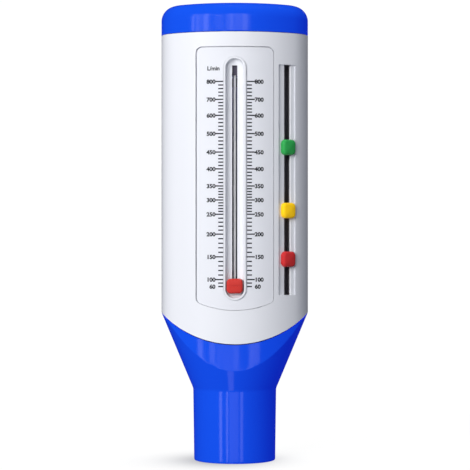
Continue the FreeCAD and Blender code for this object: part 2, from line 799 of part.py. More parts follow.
def rod_bridge():
    """The upper rod support: the same flange and spokes, upside down, with a long blind hub."""
    body = new_body("bridge")
    sketch = sketch_on(body, "bridge_ring", "XZ_Plane")
    polygon(sketch, [
        ("flange_bore_radius", "tube_top"), ("tube_radius", "tube_top"), ("tube_radius", "bridge_top"),
        ("flange_bore_radius", "bridge_top"),
    ])
    revolve(body, "bridge_ring_turn", sketch)
    spokes(body, "bridge", "tube_top - spoke_reach", "bridge_top")
    hub = sketch_on(body, "bridge_hub", "XZ_Plane")
    polygon(hub, [
        ("0", "rod_top"), ("0", "bridge_top"), ("hub_radius", "bridge_top"),
        ("hub_radius", "bridge_hub_bottom"), ("rod_radius", "bridge_hub_bottom"), ("rod_radius", "rod_top"),
    ])
    revolve(body, "bridge_hub_turn", hub)
    clear_rod_hole(body, "bridge", "bridge_hub_bottom", "rod_top")
    return finish_part(body, "rod_bridge")


def guide_rod():
    """The polished rod that the piston slides on, grooved at its foot for the clip."""
    groove_radius = "(rod_radius - clip_groove_depth)"
    groove_top = "(clip_bottom + clip_thickness)"
    body = turned_part("rod", [
        ("0", "rod_bottom"), ("rod_radius", "rod_bottom"), ("rod_radius", "clip_bottom"),
        (groove_radius, "clip_bottom"), (groove_radius, groove_top), ("rod_radius", groove_top),
        ("rod_radius", "rod_top"), ("0", "rod_top"),
    ])
    return finish_part(body, "guide_rod")


def rod_clip():
    """The open retaining ring under the lower support."""
    body = new_body("clip")
    ring = sketch_on(body, "clip_ring", offset="clip_bottom")
    circle(ring, "clip_radius")
    circle(ring, "rod_radius - clip_groove_depth")
    feature(body, "Pad", "clip_pad", ring, "clip_thickness")
    mouth = sketch_on(body, "clip_mouth", offset="clip_bottom")
    half = "(rod_radius - clip_groove_depth)"
    rectangle(mouth, f"-{half}", half, "0", "clip_radius + overcut")
    feature(body, "Pocket", "clip_mouth_pocket", mouth, "clip_thickness", backwards=True)
    return finish_part(body, "rod_clip")


def ring_part(name, label, inner, outer, low, high):
    """A plain ring between two heights."""
    body = turned_part(name, [(inner, low), (outer, low), (outer, high), (inner, high)])
    return finish_part(body, label)


def piston():
    """The thin piston plate with its rim, its hub and the ribs between them."""
    body = new_body("piston_form")
    sketch = sketch_on(body, "piston_section", "XZ_Plane")
    rim_inner = "(piston_radius - piston_rim_wall)"
    plate_low = "(piston_top - piston_plate)"
    polygon(sketch, [
        ("bush_radius", "piston_hub_bottom"), ("piston_hub_radius", "piston_hub_bottom"),
        ("piston_hub_radius", plate_low), (rim_inner, plate_low), (rim_inner, "piston_top - piston_rim"),
        ("piston_radius", "piston_top - piston_rim"), ("piston_radius", "piston_top"),
        ("piston_hub_radius", "piston_top"), ("piston_hub_radius", "bush_top"), ("bush_radius", "bush_top"),
    ])
    revolve(body, "piston_turn", sketch)
    rib = sketch_on(body, "piston_rib", offset="piston_top - piston_plate")
    rectangle(
        rib, "piston_hub_radius - overlap", "piston_radius - piston_rim_wall / 2", "-piston_rib_width / 2",
        "piston_rib_width / 2",
    )
    pad = feature(body, "Pad", "piston_rib_pad", rib, "piston_rib_height", backwards=True)
    polar(body, "piston_ribs", pad, rib, "piston_rib_count")
    return finish_part(body, "piston")


def piston_spring():
    """The light coil spring between the lower support's hub and the piston's hub."""
    spine = doc.addObject("Part::Helix", "spring_line")
    bind(
        spine, Pitch="(spring_top - spring_bottom) / spring_turns", Height="spring_top - spring_bottom",
        Radius="spring_mean_radius", Placement__Base__z="spring_bottom",
    )
    wire = doc.addObject("Part::RegularPolygon", "spring_wire")
    wire.Polygon = 4
    wire.Placement = FreeCAD.Placement(FreeCAD.Vector(), FreeCAD.Rotation(FreeCAD.Vector(1, 0, 0), 90))
    bind(wire, Circumradius="spring_wire_radius")
    place(wire, x="spring_mean_radius", z="spring_bottom")
    coil = doc.addObject("Part::Sweep", "spring_coil")
    coil.Sections = [wire]
    coil.Spine = (spine, [])
    coil.Solid = True
    coil.Frenet = True
    return finish_part(coil, "piston_spring")


# Pointer

def pointer_carriage():
    """The slider behind the groove: a peg through the slot, a block on the wire and a drive finger."""
    body = new_body("carriage")
    low, high = "pointer_rest - carriage_height / 2", "pointer_rest + carriage_height / 2"
    front = sketch_on(body, "carriage_peg", "XZ_Plane", "carriage_front - overlap")
    half_width, half_height = "peg_width / 2", "peg_height / 2"
    rectangle(
        front, f"-{half_width}", half_width, f"pointer_rest - {half_height}", f"pointer_rest + {half_height}"
    )
    feature(body, "Pad", "carriage_peg_pad", front, "groove_floor + peg_length - carriage_front + overlap")
    side = sketch_on(body, "carriage_block", "XZ_Plane", "carriage_back")
    rectangle(side, "-carriage_width / 2", "carriage_width / 2", low, high)
    feature(body, "Pad", "carriage_block_pad", side, "carriage_front - carriage_back")
    finger = sketch_on(body, "carriage_finger", "XZ_Plane", "finger_tip")
    rectangle(finger, "-finger_width / 2", "finger_width / 2", low, high)
    feature(body, "Pad", "carriage_finger_pad", finger, "carriage_back - finger_tip + overlap")
    hole = sketch_on(body, "carriage_wire_hole", offset="pointer_rest + carriage_height / 2")
    circle(hole, "wire_radius + wire_bore_gap", y="-wire_depth")
    feature(body, "Pocket", "carriage_wire_bore", hole, "carriage_height")
    return finish_part(body, "pointer_carriage")


def pointer_knob():
    """The red knob: a rounded block, its back curved to ride in the groove, with a reading line across."""
    body = new_body("knob_block")
    face = sketch_on(body, "knob_face", "XZ_Plane", "groove_floor + knob_gap")
    low, high = "pointer_rest - knob_height / 2", "pointer_rest + knob_height / 2"
    rectangle(face, "-knob_width / 2", "knob_width / 2", low, high)
    feature(body, "Pad", "knob_pad", face, "knob_front - groove_floor - knob_gap")
    depth = number("(knob_front - groove_floor - knob_gap) / 2")
    round_edges(body, "knob_corners", "knob_rounding", lambda edge: edge.BoundBox.YLength > depth)
    front = -number("knob_front") + PICK_TOLERANCE
    bevel_edges(body, "knob_front_bevel", "knob_edge", lambda edge: edge.BoundBox.YMax < front)
    line = sketch_on(body, "knob_line", "XZ_Plane", "knob_front - knob_line_depth")
    half = "knob_line_width / 2"
    rectangle(line, "-knob_width", "knob_width", f"pointer_rest - {half}", f"pointer_rest + {half}")
    feature(body, "Pocket", "knob_line_cut", line, "knob_line_depth * 2", backwards=True)
    socket = sketch_on(body, "knob_socket", "XZ_Plane", "groove_floor")
    half_width, half_height = "(peg_width / 2 + fit_gap)", "(peg_height / 2 + fit_gap)"
    rectangle(
        socket, f"-{half_width}", half_width, f"pointer_rest - {half_height}", f"pointer_rest + {half_height}"
    )
    feature(body, "Pocket", "knob_socket_pocket", socket, "peg_length + fit_gap", backwards=True)
    back = capsule(
        "knob_back", "groove_radius - knob_gap", "-groove_axis", "groove_low", "pointer_rest * 2 - groove_low"
    )
    return finish_part(common("knob", body, back), "pointer_knob")


def guide_wire():
    """The fine bright wire behind the pointer's slot."""
    wire = doc.addObject("Part::Cylinder", "wire")
    bind(wire, Radius="wire_radius", Height="wire_top - wire_bottom")
    place(wire, y="-wire_depth", z="wire_bottom")
    return finish_part(wire, "guide_wire")


def wire_block(name, label, low, high, hole_low, hole_high):
    """A block in one end of the tube's slot, with a blind hole for the wire."""
    half = "(tube_slot_width / 2 - fit_gap)"
    front, back = "(groove_back - neck_gap)", "tube_bore_radius"
    solid = block(f"{name}_block", f"-{half}", half, f"-{front}", f"-{back}", low, high)
    hole = doc.addObject("Part::Cylinder", f"{name}_hole")
    bind(hole, Radius="wire_radius", Height=f"({hole_high}) - ({hole_low})")
    place(hole, y="-wire_depth", z=hole_low)
    return finish_part(cut(name, solid, hole), label)


# Markers

def marker(colour, height):
    """A marker knob: a pillowed block on the channel, a neck through the slot and a barbed head behind it."""
    body = new_body(f"{colour}_knob")
    side = "marker_shift - marker_slot_shift"
    face = sketch_on(body, f"{colour}_face", "XZ_Plane", "marker_float - channel_depth")
    rectangle(
        face, f"{side} - marker_width / 2", f"{side} + marker_width / 2", "-marker_height / 2",
        "marker_height / 2",
    )
    feature(body, "Pad", f"{colour}_pad", face, "marker_thickness")
    thick = number("marker_thickness / 2")
    round_edges(body, f"{colour}_corners", "marker_corner", lambda edge: edge.BoundBox.YLength > thick)
    front = -number("marker_thickness + marker_float - channel_depth") + PICK_TOLERANCE
    bevel_edges(body, f"{colour}_bevel", "marker_edge", lambda edge: edge.BoundBox.YMax < front)
    neck_half = "(marker_slot_width / 2 - marker_neck_gap)"
    clip_back = "(track_front + marker_clip_thickness + fit_gap)"
    neck = sketch_on(body, f"{colour}_neck", "XZ_Plane", "marker_float - channel_depth")
    rectangle(neck, f"-{neck_half}", neck_half, "-marker_neck_height / 2", "marker_neck_height / 2")
    feature(
        body, "Pad", f"{colour}_neck_pad", neck, f"{clip_back} - channel_depth + marker_float", backwards=True
    )
    head = sketch_on(body, f"{colour}_head", "XZ_Plane", f"-{clip_back}")
    rectangle(
        head, "-marker_head_width / 2", "marker_head_width / 2", "-marker_neck_height / 2",
        "marker_neck_height / 2",
    )
    feature(body, "Pad", f"{colour}_head_pad", head, "marker_head_thickness", backwards=True)
    on_marker_line(body, "marker_slot_shift", z=height)
    return finish_part(body, f"{colour}_marker")


def marker_clip(colour, height):
    """The flat clip on the marker's neck that bears on the inside of the case."""
    body = new_body(f"{colour}_clip")
    plate = sketch_on(body, f"{colour}_clip_plate", "XZ_Plane", "-track_front")
    rectangle(
        plate, "-marker_clip_width / 2", "marker_clip_width / 2", "-marker_clip_height / 2",
        "marker_clip_height / 2",
    )
    feature(body, "Pad", f"{colour}_clip_pad", plate, "marker_clip_thickness", backwards=True)
    half_width = "(marker_slot_width / 2 - marker_neck_gap + fit_gap)"
    half_height = "(marker_neck_height / 2 + fit_gap)"
    hole = sketch_on(body, f"{colour}_clip_hole", "XZ_Plane", "-track_front")
    rectangle(hole, f"-{half_width}", half_width, f"-{half_height}", half_height)
    feature(body, "Pocket", f"{colour}_clip_pocket", hole, "marker_clip_thickness")
    on_marker_line(body, "marker_slot_shift", z=height)
    return finish_part(body, f"{colour}_marker_clip")


def marker_track():
    """The black channel behind the marker slot, in which the clips slide."""
    body = new_body("track")
    outside = sketch_on(body, "track_outside", "XZ_Plane", "-track_front")
    half = "track_width / 2"
    rectangle(outside, f"-{half}", half, "channel_low - track_wall", "channel_high + track_wall")
    feature(body, "Pad", "track_pad", outside, "track_hollow + track_wall", backwards=True)
    inside = sketch_on(body, "track_inside", "XZ_Plane", "-track_front")
    rectangle(inside, f"-{half} + track_wall", f"{half} - track_wall", "channel_low", "channel_high")
    feature(body, "Pocket", "track_pocket", inside, "track_hollow")
    on_marker_line(body, "marker_slot_shift")
    return finish_part(body, "marker_track")


# Assembly

bush_bore = "rod_radius + bush_bore_gap"
parts = [
    barrel(), scale_label(), top_cap(), mouthpiece_funnel(), flow_tube(), seal_ring(), rod_spider(),
    rod_bridge(), guide_rod(), rod_clip(),
    ring_part("rest_buffer", "lower_buffer", bush_bore, "stop_radius", "stop_top", "rest_buffer_top"),
    ring_part(
        "limit_buffer", "upper_buffer", bush_bore, "hub_radius", "top_buffer_bottom", "bridge_hub_bottom"
    ),
    piston(), ring_part("bush", "piston_bush", bush_bore, "bush_radius", "bush_bottom", "bush_top"),
    piston_spring(), pointer_carriage(), pointer_knob(), guide_wire(),
    wire_block(
        "foot_holder", "wire_foot", "wire_foot_bottom", "wire_foot_top", "wire_bottom", "wire_foot_top"
    ),
    wire_block(
        "top_holder", "wire_buffer", "wire_buffer_bottom", "wire_buffer_top", "wire_buffer_bottom", "wire_top"
    ),
    marker_track(),
]
for colour in ("green", "yellow", "red"):
    parts += [marker(colour, f"{colour}_height"), marker_clip(colour, f"{colour}_height")]

doc.recompute()

failed = [thing.Label for thing in doc.Objects if "Invalid" in thing.State or "Error" in thing.State]
if failed:
    raise RuntimeError("not built: " + ", ".join(failed))
for part in parts:
    if part.Shape.isNull() or not part.Shape.isValid() or part.Shape.Volume <= 0:
        raise RuntimeError(f"{part.Label} has no sound shape")

os.makedirs("parts", exist_ok=True)
for part in parts:
    part.Shape.exportStep(f"parts/{part.Label}.step")
    box = part.Shape.BoundBox
    low, high = (box.XMin, box.YMin, box.ZMin), (box.XMax, box.YMax, box.ZMax)
    spans = ", ".join(f"{axis} {a:.2f} to {b:.2f}" for axis, a, b in zip("xyz", low, high))
    print(f"{part.Label}: {len(part.Shape.Solids)} solid, {part.Shape.Volume:.1f} mm3, {spans}")
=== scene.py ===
# Peak flow meter, dressed for the photograph's view: smooth shells over the fixed frame, the printed
# scale, the materials, a plain studio and the camera. Shapes are drawn in millimetres, and MM turns
# them into metres.

import math

import bmesh
import bpy
from mathutils import Matrix, Vector


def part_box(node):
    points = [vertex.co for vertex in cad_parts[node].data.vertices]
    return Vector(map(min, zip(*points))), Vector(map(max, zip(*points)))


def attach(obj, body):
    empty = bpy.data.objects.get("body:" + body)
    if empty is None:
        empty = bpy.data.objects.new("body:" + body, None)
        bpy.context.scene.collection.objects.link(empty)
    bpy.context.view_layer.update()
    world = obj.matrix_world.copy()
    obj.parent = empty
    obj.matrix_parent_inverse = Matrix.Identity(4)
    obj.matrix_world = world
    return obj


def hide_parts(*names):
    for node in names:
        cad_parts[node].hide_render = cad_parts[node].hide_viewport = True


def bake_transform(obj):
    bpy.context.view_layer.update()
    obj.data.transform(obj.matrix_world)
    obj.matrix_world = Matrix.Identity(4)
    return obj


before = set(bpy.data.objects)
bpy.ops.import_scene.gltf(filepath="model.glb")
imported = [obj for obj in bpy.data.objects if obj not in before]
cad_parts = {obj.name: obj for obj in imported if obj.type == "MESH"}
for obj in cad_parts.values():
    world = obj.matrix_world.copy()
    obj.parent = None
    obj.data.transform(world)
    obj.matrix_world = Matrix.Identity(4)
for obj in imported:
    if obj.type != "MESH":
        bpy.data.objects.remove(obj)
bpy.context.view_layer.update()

MM = 0.001
scene = bpy.context.scene


def node_box(node):
    """A node's lowest and highest corners, in millimetres to the nearest hundredth."""
    return [[round(value / MM, 2) for value in corner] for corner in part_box(node)]


def middle_height(node):
    """The height of a node's middle, in millimetres."""
    low, high = node_box(node)
    return round((low[2] + high[2]) / 2, 2)


# Case. The funnel reaches the case's full width and depth.
HALF_WIDTH, HALF_DEPTH, _ = node_box("mouthpiece_funnel")[1]
END_RADIUS = 13.6
CASE_WALL = 1.8
END_CENTRE = HALF_WIDTH - END_RADIUS
WIDE_RADIUS = (END_CENTRE**2 + HALF_DEPTH**2 - END_RADIUS**2) / (2 * (HALF_DEPTH - END_RADIUS))
WIDE_CENTRE = WIDE_RADIUS - HALF_DEPTH
MEET = math.atan2(WIDE_CENTRE, END_CENTRE)

# Lid, its skirt inside the case, its vents and its posts.
CAP_SEAM = node_box("barrel")[1][2]
SKIRT_FOOT, CAP_TOP = (corner[2] for corner in node_box("top_cap"))
CAP_GAP = 0.2
CAP_FOOT = CAP_SEAM + CAP_GAP
CAP_FOOT_BEVEL = 0.12
CAP_ROUNDING = 5.5
CAP_CEILING = 163.5
CAP_EDGE = 0.14
SKIRT_INSET = 1.9
CAVITY_INSET = 3.4
VENT_HALF_WIDTH = 1.1
VENT_LENGTH = 14.8
VENT_PITCH = 4.4
VENT_COUNT = 7
POST_CIRCLE = 13.3
POST_RADIUS = 1.4
POST_FOOT = 151.45
POST_COUNT = 4
POST_ROOT = 0.5

# The arched seam over the funnel, and the shoulders that show in the gaps over and under the case.
SEAM_BOTTOM = 43.1
SEAM_RADIUS = 38.4
SEAM_CENTRE = SEAM_BOTTOM + SEAM_RADIUS
SEAM_FIT = 0.05
SEAM_GAP = 0.3
SHOULDER_INSET = 0.4
SHOULDER_LAP = 0.05
SHOULDER_ROOT = SKIRT_INSET + 0.2

# Funnel.
MOUTH_TIP = 14.8
MOUTH_ROOT = 15.15
MOUTH_LENGTH = 26.2
MOUTH_BORE = 13.3
MOUTH_LIP = 0.5
BORE_LIP = 0.3
ROOT_ROUNDING = 3.0
CREASE_START = MOUTH_LENGTH + 2.0
CREASE_BLEND = 0.03
BORE_DEPTH = 28.0
SEAT_TOP = 31.0
SEAT_RADIUS = 14.2
CONE_TOP = SEAM_CENTRE - math.sqrt(SEAM_RADIUS**2 - HALF_WIDTH**2) - SEAM_FIT
CONE_SLOPE = (HALF_WIDTH - MOUTH_ROOT) / (CONE_TOP - MOUTH_LENGTH)
CONE_INSIDE = HALF_WIDTH - CONE_SLOPE * CONE_TOP - CASE_WALL * math.sqrt(1 + CONE_SLOPE**2)
SPIGOT_HEIGHT = 3.4
SPIGOT_TOP = CONE_TOP + SPIGOT_HEIGHT

# Groove, rim and slot of the pointer. The knob's back and the wall behind the groove follow a bar of
# the groove's radius about the groove's axis.
GROOVE_RADIUS = 3.65
GROOVE_AXIS = 19.65
GROOVE_HALF_WIDTH = 3.35
GROOVE_DEPTH = 2.2
GROOVE_FLATNESS = 3.3
GROOVE_LOW = 62.85
GROOVE_HIGH = 141.8
GROOVE_WALL = 1.5
GROOVE_BACK = 14.5
RIM_HALF_WIDTH = 4.0
RIM_FRONT = HALF_DEPTH + 0.2
RIM_ROOT = 0.4
SLOT_HALF_WIDTH = 0.925
SLOT_LOW = 61.5
SLOT_HIGH = 142.8

# Label and its recess, in which it sits a little low and to the right.
LABEL_RECESS = 1.25
LABEL_SHIFT = (0.13, -0.1)
LABEL_FACE = 0.2
LABEL_GAP = 0.27
LABEL_RIM_GAP = 0.1
LABEL_HALF_WIDTH = 14.0
LABEL_TOP = 149.5
LABEL_BOTTOM = 55.1
LABEL_ARC = 34.0
LABEL_CORNER = 2.3

# Marker channel and markers.
MARKER_OFFSET = 18.9
MARKER_TURN = math.asin(MARKER_OFFSET / WIDE_RADIUS)
MARKER_FRONT = HALF_DEPTH - WIDE_RADIUS * (1 - math.cos(MARKER_TURN))
CHANNEL_HALF_WIDTH = 3.6
CHANNEL_DEPTH = 0.7
CHANNEL_LOW = 60.5
CHANNEL_HIGH = 143.3
MARKER_SLOT_HALF_WIDTH = 1.5
MARKER_SLOT_SHIFT = 0.6
MARKER_SHIFT = 0.35
MARKER_HALF_SIZE = 2.8
MARKER_CORNER = 1.6
MARKER_EDGE = 1.1
MARKER_DOME = 0.2
MARKER_FACE = -1.55
MARKER_FLOAT = 0.1
NECK_GAP = 0.1
NECK_ROOT = 0.5
NECK_END = 3.15
NECK_HALF_HEIGHT = 2.0
HEAD_HALF_WIDTH = 1.6
HEAD_THICKNESS = 0.7

# Pointer knob, its reading line and the socket for the carriage's peg.
POINTER_CORNER = 1.4
POINTER_EDGE = 0.8
POINTER_DOME = 0.12
POINTER_GAP = 0.25
LINE_HALF_HEIGHT = 0.22
LINE_DEPTH = 0.4
SOCKET_HALF_WIDTH = 0.85
SOCKET_HALF_HEIGHT = 1.65
SOCKET_FRONT = -17.65
SOCKET_BACK = -15.0

# Spring, whose wire is drawn a little thinner than the solid's.
COIL_WIRE = 0.22
COIL_RADIUS = 2.85
COIL_TURNS = 7

# How far a cutting form runs past what it cuts, and how near two points are to be welded into one.
OVERCUT = 1.0
WELD_DISTANCE = 0.002


# Mesh tools

def new_object(name, data):
    made = bpy.data.objects.new(name, data)
    scene.collection.objects.link(made)
    return made


def from_bmesh(name, bm):
    """An object from a mesh drawn in millimetres."""
    bmesh.ops.recalc_face_normals(bm, faces=bm.faces)
    mesh = bpy.data.meshes.new(name)
    bm.to_mesh(mesh)
    bm.free()
    mesh.transform(Matrix.Scale(MM, 4))
    return new_object(name, mesh)


def add_loft(bm, loops, ring=False):
    """Adds a closed surface through loops of equally many points. A ring joins its last to its first."""
    rows = [[bm.verts.new(point) for point in loop] for loop in loops]
    pairs = list(zip(rows, rows[1:]))
    if ring:
        pairs.append((rows[-1], rows[0]))
    for low, high in pairs:
        for i in range(len(low)):
            j = (i + 1) % len(low)
            bm.faces.new((low[i], low[j], high[j], high[i]))
    if not ring:
        bm.faces.new(rows[0])
        bm.faces.new(rows[-1])


def loft(name, loops, ring=False):
    bm = bmesh.new()
    add_loft(bm, loops, ring)
    return from_bmesh(name, bm)


def turned_ring(name, profile):
    """A ring round Z. At each angle, profile gives its section as radii and heights."""
    columns, count = [], 256
    for i in range(count):
        angle = math.tau * i / count
        c, s = math.cos(angle), math.sin(angle)
        columns.append([(radius * c, radius * s, z) for radius, z in profile(angle)])
    return loft(name, list(zip(*columns)), ring=True)


def box(name, x_low, x_high, y_low, y_high, z_low, z_high):
    corners = ((x_low, y_low), (x_high, y_low), (x_high, y_high), (x_low, y_high))
    return loft(name, [[(x, y, z) for x, y in corners] for z in (z_low, z_high)])


def settle(piece):
    """Makes the modifiers permanent."""
    bpy.context.view_layer.update()
    evaluated = piece.evaluated_get(bpy.context.evaluated_depsgraph_get())
    mesh = bpy.data.meshes.new_from_object(evaluated)
    piece.modifiers.clear()
    old = piece.data
    piece.data = mesh
    bpy.data.meshes.remove(old)


def combine(piece, operation, *tools):
    """Cuts the tools from the piece, or joins or intersects them with it, and removes them."""
    for tool in tools:
        step = piece.modifiers.new(operation, "BOOLEAN")
        step.operation = operation
        step.solver = "EXACT"
        step.object = tool
    settle(piece)
    for tool in tools:
        bpy.data.objects.remove(tool)


def join(name, pieces):
    """One object from several."""
    bm = bmesh.new()
    for piece in pieces:
        bm.from_mesh(piece.data)
        bpy.data.objects.remove(piece)
    mesh = bpy.data.meshes.new(name)
    bm.to_mesh(mesh)
    bm.free()
    return new_object(name, mesh)


def smooth(piece, angle=32):
    """Shades a piece smooth, apart from the edges that turn by more than angle degrees."""
    piece.data.shade_smooth()
    piece.data.set_sharp_from_angle(angle=math.radians(angle))
    return piece


def soften(piece, width=0.0):
    """Welds near doubles, rounds the sharp edges by width millimetres and shades the rest smooth."""
    weld = piece.modifiers.new("weld", "WELD")
    weld.merge_threshold = WELD_DISTANCE * MM
    if width:
        bevel = piece.modifiers.new("edges", "BEVEL")
        bevel.width = width * MM
        bevel.segments = 2
        bevel.limit_method = "ANGLE"
        bevel.angle_limit = math.radians(35)
        bevel.miter_outer = "MITER_ARC"
    settle(piece)
    return smooth(piece)


def shift(piece, x=0.0, z=0.0):
    """Moves a piece's mesh by millimetres."""
    piece.data.transform(Matrix.Translation((x * MM, 0, z * MM)))


def to_channel(piece):
    """Carries a piece drawn about the marker line's own origin to its place on the case."""
    place = Matrix.Translation(Vector((MARKER_OFFSET, -MARKER_FRONT, 0)) * MM)
    piece.data.transform(place @ Matrix.Rotation(MARKER_TURN, 4, "Z"))
    return piece


# Outlines and plain forms

def arc(x, y, radius, start, stop, count):
    """Points along an arc, without its last."""
    step = (stop - start) / count
    angles = [start + i * step for i in range(count)]
    return [(x + radius * math.cos(angle), y + radius * math.sin(angle)) for angle in angles]


def oval(inset, z):
    """The case's outline, or one inside it: two wide arcs that run into two end arcs."""
    end, wide = END_RADIUS - inset, WIDE_RADIUS - inset
    end_points, wide_points = 36, 84
    points = arc(END_CENTRE, 0, end, -MEET, MEET, end_points)
    points += arc(0, -WIDE_CENTRE, wide, MEET, math.pi - MEET, wide_points)
    points += arc(-END_CENTRE, 0, end, math.pi - MEET, math.pi + MEET, end_points)
    points += arc(0, WIDE_CENTRE, wide, math.pi + MEET, math.tau - MEET, wide_points)
    return [(x, y, z) for x, y in points]


def oval_radius(angle, inset):
    """How far the oval lies from the axis in a direction."""
    c, s = abs(math.cos(angle)), abs(math.sin(angle))
    end, wide = END_RADIUS - inset, WIDE_RADIUS - inset
    inside = (END_CENTRE * c) ** 2 - END_CENTRE**2 + end**2
    if inside >= 0:
        reach = END_CENTRE * c + math.sqrt(inside)
        if math.atan2(reach * s, reach * c - END_CENTRE) <= MEET:
            return reach
    return math.sqrt((WIDE_CENTRE * s) ** 2 - WIDE_CENTRE**2 + wide**2) - WIDE_CENTRE * s


def seam_height(angle, inset=0.0):
    """The height of the arched seam in the case's surface, or in one inside it, in a direction."""
    x = oval_radius(angle, inset) * math.cos(angle)
    return SEAM_CENTRE - math.sqrt(SEAM_RADIUS**2 - x**2)


def front(x, inset):
    """The case's front surface at x, or one inside it."""
    return WIDE_CENTRE - math.sqrt((WIDE_RADIUS - inset) ** 2 - x**2)


def stadium(half_width, low, high):
    """A slot's outline with round ends, in X and Z."""
    count = 48
    points = arc(0, high, half_width, 0, math.pi, count) + [(-half_width, high)]
    return points + arc(0, low, half_width, math.pi, math.tau, count) + [(half_width, low)]


def label_outline(inset, shift_x=0.0, shift_z=0.0):
    """Straight sides and top with round corners, and a foot that bows down as a shallow arc."""
    half, top, radius = LABEL_HALF_WIDTH - inset, LABEL_TOP - inset, LABEL_ARC - inset
    centre = LABEL_BOTTOM + LABEL_ARC
    corner, count = LABEL_CORNER - inset, 12
    side_centre = half - corner
    foot_centre = centre - math.sqrt((radius - corner) ** 2 - side_centre**2)
    lean = math.asin(side_centre / (radius - corner))
    left, right = 1.5 * math.pi - lean, 1.5 * math.pi + lean
    points = arc(side_centre, top - corner, corner, 0, math.pi / 2, count) + [(side_centre, top)]
    points += arc(-side_centre, top - corner, corner, math.pi / 2, math.pi, count) + [(-half, top - corner)]
    points += arc(-side_centre, foot_centre, corner, math.pi, left, count)
    points += arc(0, centre, radius, left, right, count * 4)
    points += arc(side_centre, foot_centre, corner, right, math.tau, count) + [(half, foot_centre)]
    return [(x + shift_x, z + shift_z) for x, z in points]


def rounded_rectangle(half_x, half_z, corner):
    """A rectangle with round corners, in X and Z."""
    points = []
    for x, z, quarter in ((1, 1, 0), (-1, 1, 1), (-1, -1, 2), (1, -1, 3)):
        centre_x, centre_z = x * (half_x - corner), z * (half_z - corner)
        start, end = quarter * math.pi / 2, (quarter + 1) * math.pi / 2
        points += arc(centre_x, centre_z, corner, start, end, 10)
        points.append((centre_x + corner * math.cos(end), centre_z + corner * math.sin(end)))
    return points


def oval_post(name, inset, low, high):
    return loft(name, [oval(inset, low), oval(inset, high)])


def prism_y(name, outline, y_low, y_high):
    """A solid along Y from an outline in X and Z."""
    return loft(name, [[(x, y, z) for x, z in outline] for y in (y_low, y_high)])


def cylinder(name, radius, x, y, low, high):
    circle = arc(x, y, radius, 0, math.tau, 48)
    return loft(name, [[(px, py, z) for px, py in circle] for z in (low, high)])


def capsule(name, radius, y, low, high):
    """An upright bar with ball ends. Its poles are tiny flats, so that each loop has a size."""
    around, rings = 96, 24
    steepest = math.pi / 2 - 0.01
    loops = []
    for centre, start, stop in ((low, -math.pi / 2, 0), (high, 0, math.pi / 2)):
        for i in range(rings + 1):
            lift = start + (stop - start) * i / rings
            lift = max(-steepest, min(steepest, lift))
            z = centre + radius * math.sin(lift)
            circle = arc(0, 0, radius * math.cos(lift), 0, math.tau, around)
            loops.append([(px, py + y, z) for px, py in circle])
    return loft(name, loops)


# Materials

def node_material(name):
    material = bpy.data.materials.new(name)
    material.use_nodes = True
    tree = material.node_tree
    return material, tree.nodes, tree.links, tree.nodes["Principled BSDF"]


def grain(nodes, links, scale, detail, stretch=(1, 1, 1)):
    """A noise over the object's own coordinates, which are in metres."""
    place = nodes.new("ShaderNodeTexCoord")
    mapping = nodes.new("ShaderNodeMapping")
    mapping.inputs["Scale"].default_value = stretch
    noise = nodes.new("ShaderNodeTexNoise")
    noise.inputs["Scale"].default_value = scale
    noise.inputs["Detail"].default_value = detail
    links.new(place.outputs["Object"], mapping.inputs["Vector"])
    links.new(mapping.outputs["Vector"], noise.inputs["Vector"])
    return noise


def spread(nodes, links, noise, low, high):
    """Turns a noise, most of which lies from 0.3 to 0.7, into a number between low and high."""
    ramp = nodes.new("ShaderNodeMapRange")
    ramp.inputs["From Min"].default_value = 0.3
    ramp.inputs["From Max"].default_value = 0.7
    ramp.inputs["To Min"].default_value = low
    ramp.inputs["To Max"].default_value = high
    links.new(noise.outputs["Fac"], ramp.inputs["Value"])
    return ramp.outputs["Result"]


# The scales of three noises: slow changes of tone, the uneven gloss of handling, and the skin's texture.
TONE_SCALE = 90
GLOSS_SCALE = 260
SKIN_SCALE = 1800
SKIN_STRENGTH = 0.35


def moulded(name, colour, roughness, variation=0.03, wear=0.15, depth=0.004, metallic=0.0,
            specular=0.5, scatter=0.0, stretch=(1, 1, 1), glow=None):
    """Plastic, rubber or metal, with a fine skin texture of a depth in millimetres.

    The tone changes by variation and the roughness by wear, both as shares. A glow, where it is given, is
    painted light: an even emission that is as bright in shade as in light.
    """
    material, nodes, links, shader = node_material(name)
    tone = nodes.new("ShaderNodeMix")
    tone.data_type = "RGBA"
    darker = [channel * (1 - variation) for channel in colour]
    lighter = [min(1.0, channel * (1 + variation)) for channel in colour]
    tone.inputs["A"].default_value = (*darker, 1)
    tone.inputs["B"].default_value = (*lighter, 1)
    cloud = grain(nodes, links, TONE_SCALE, 2.0)
    links.new(cloud.outputs["Fac"], tone.inputs["Factor"])
    links.new(tone.outputs["Result"], shader.inputs["Base Color"])
    handled = grain(nodes, links, GLOSS_SCALE, 4.0, stretch)
    gloss = spread(nodes, links, handled, roughness * (1 - wear), roughness * (1 + wear))
    links.new(gloss, shader.inputs["Roughness"])
    skin = grain(nodes, links, SKIN_SCALE, 2.0, stretch)
    bump = nodes.new("ShaderNodeBump")
    bump.inputs["Strength"].default_value = SKIN_STRENGTH
    bump.inputs["Distance"].default_value = depth * MM
    links.new(skin.outputs["Fac"], bump.inputs["Height"])
    links.new(bump.outputs["Normal"], shader.inputs["Normal"])
    shader.inputs["Metallic"].default_value = metallic
    shader.inputs["Specular IOR Level"].default_value = specular
    if glow:
        shader.inputs["Emission Color"].default_value = (*glow, 1)
        shader.inputs["Emission Strength"].default_value = 1.0
    if scatter:
        shader.inputs["Subsurface Weight"].default_value = scatter
        shader.inputs["Subsurface Radius"].default_value = (1.0, 0.9, 0.8)
        shader.inputs["Subsurface Scale"].default_value = 0.6 * MM
    return material


# Drawn metal has its grain along Z.
DRAWN = (1, 1, 0.05)

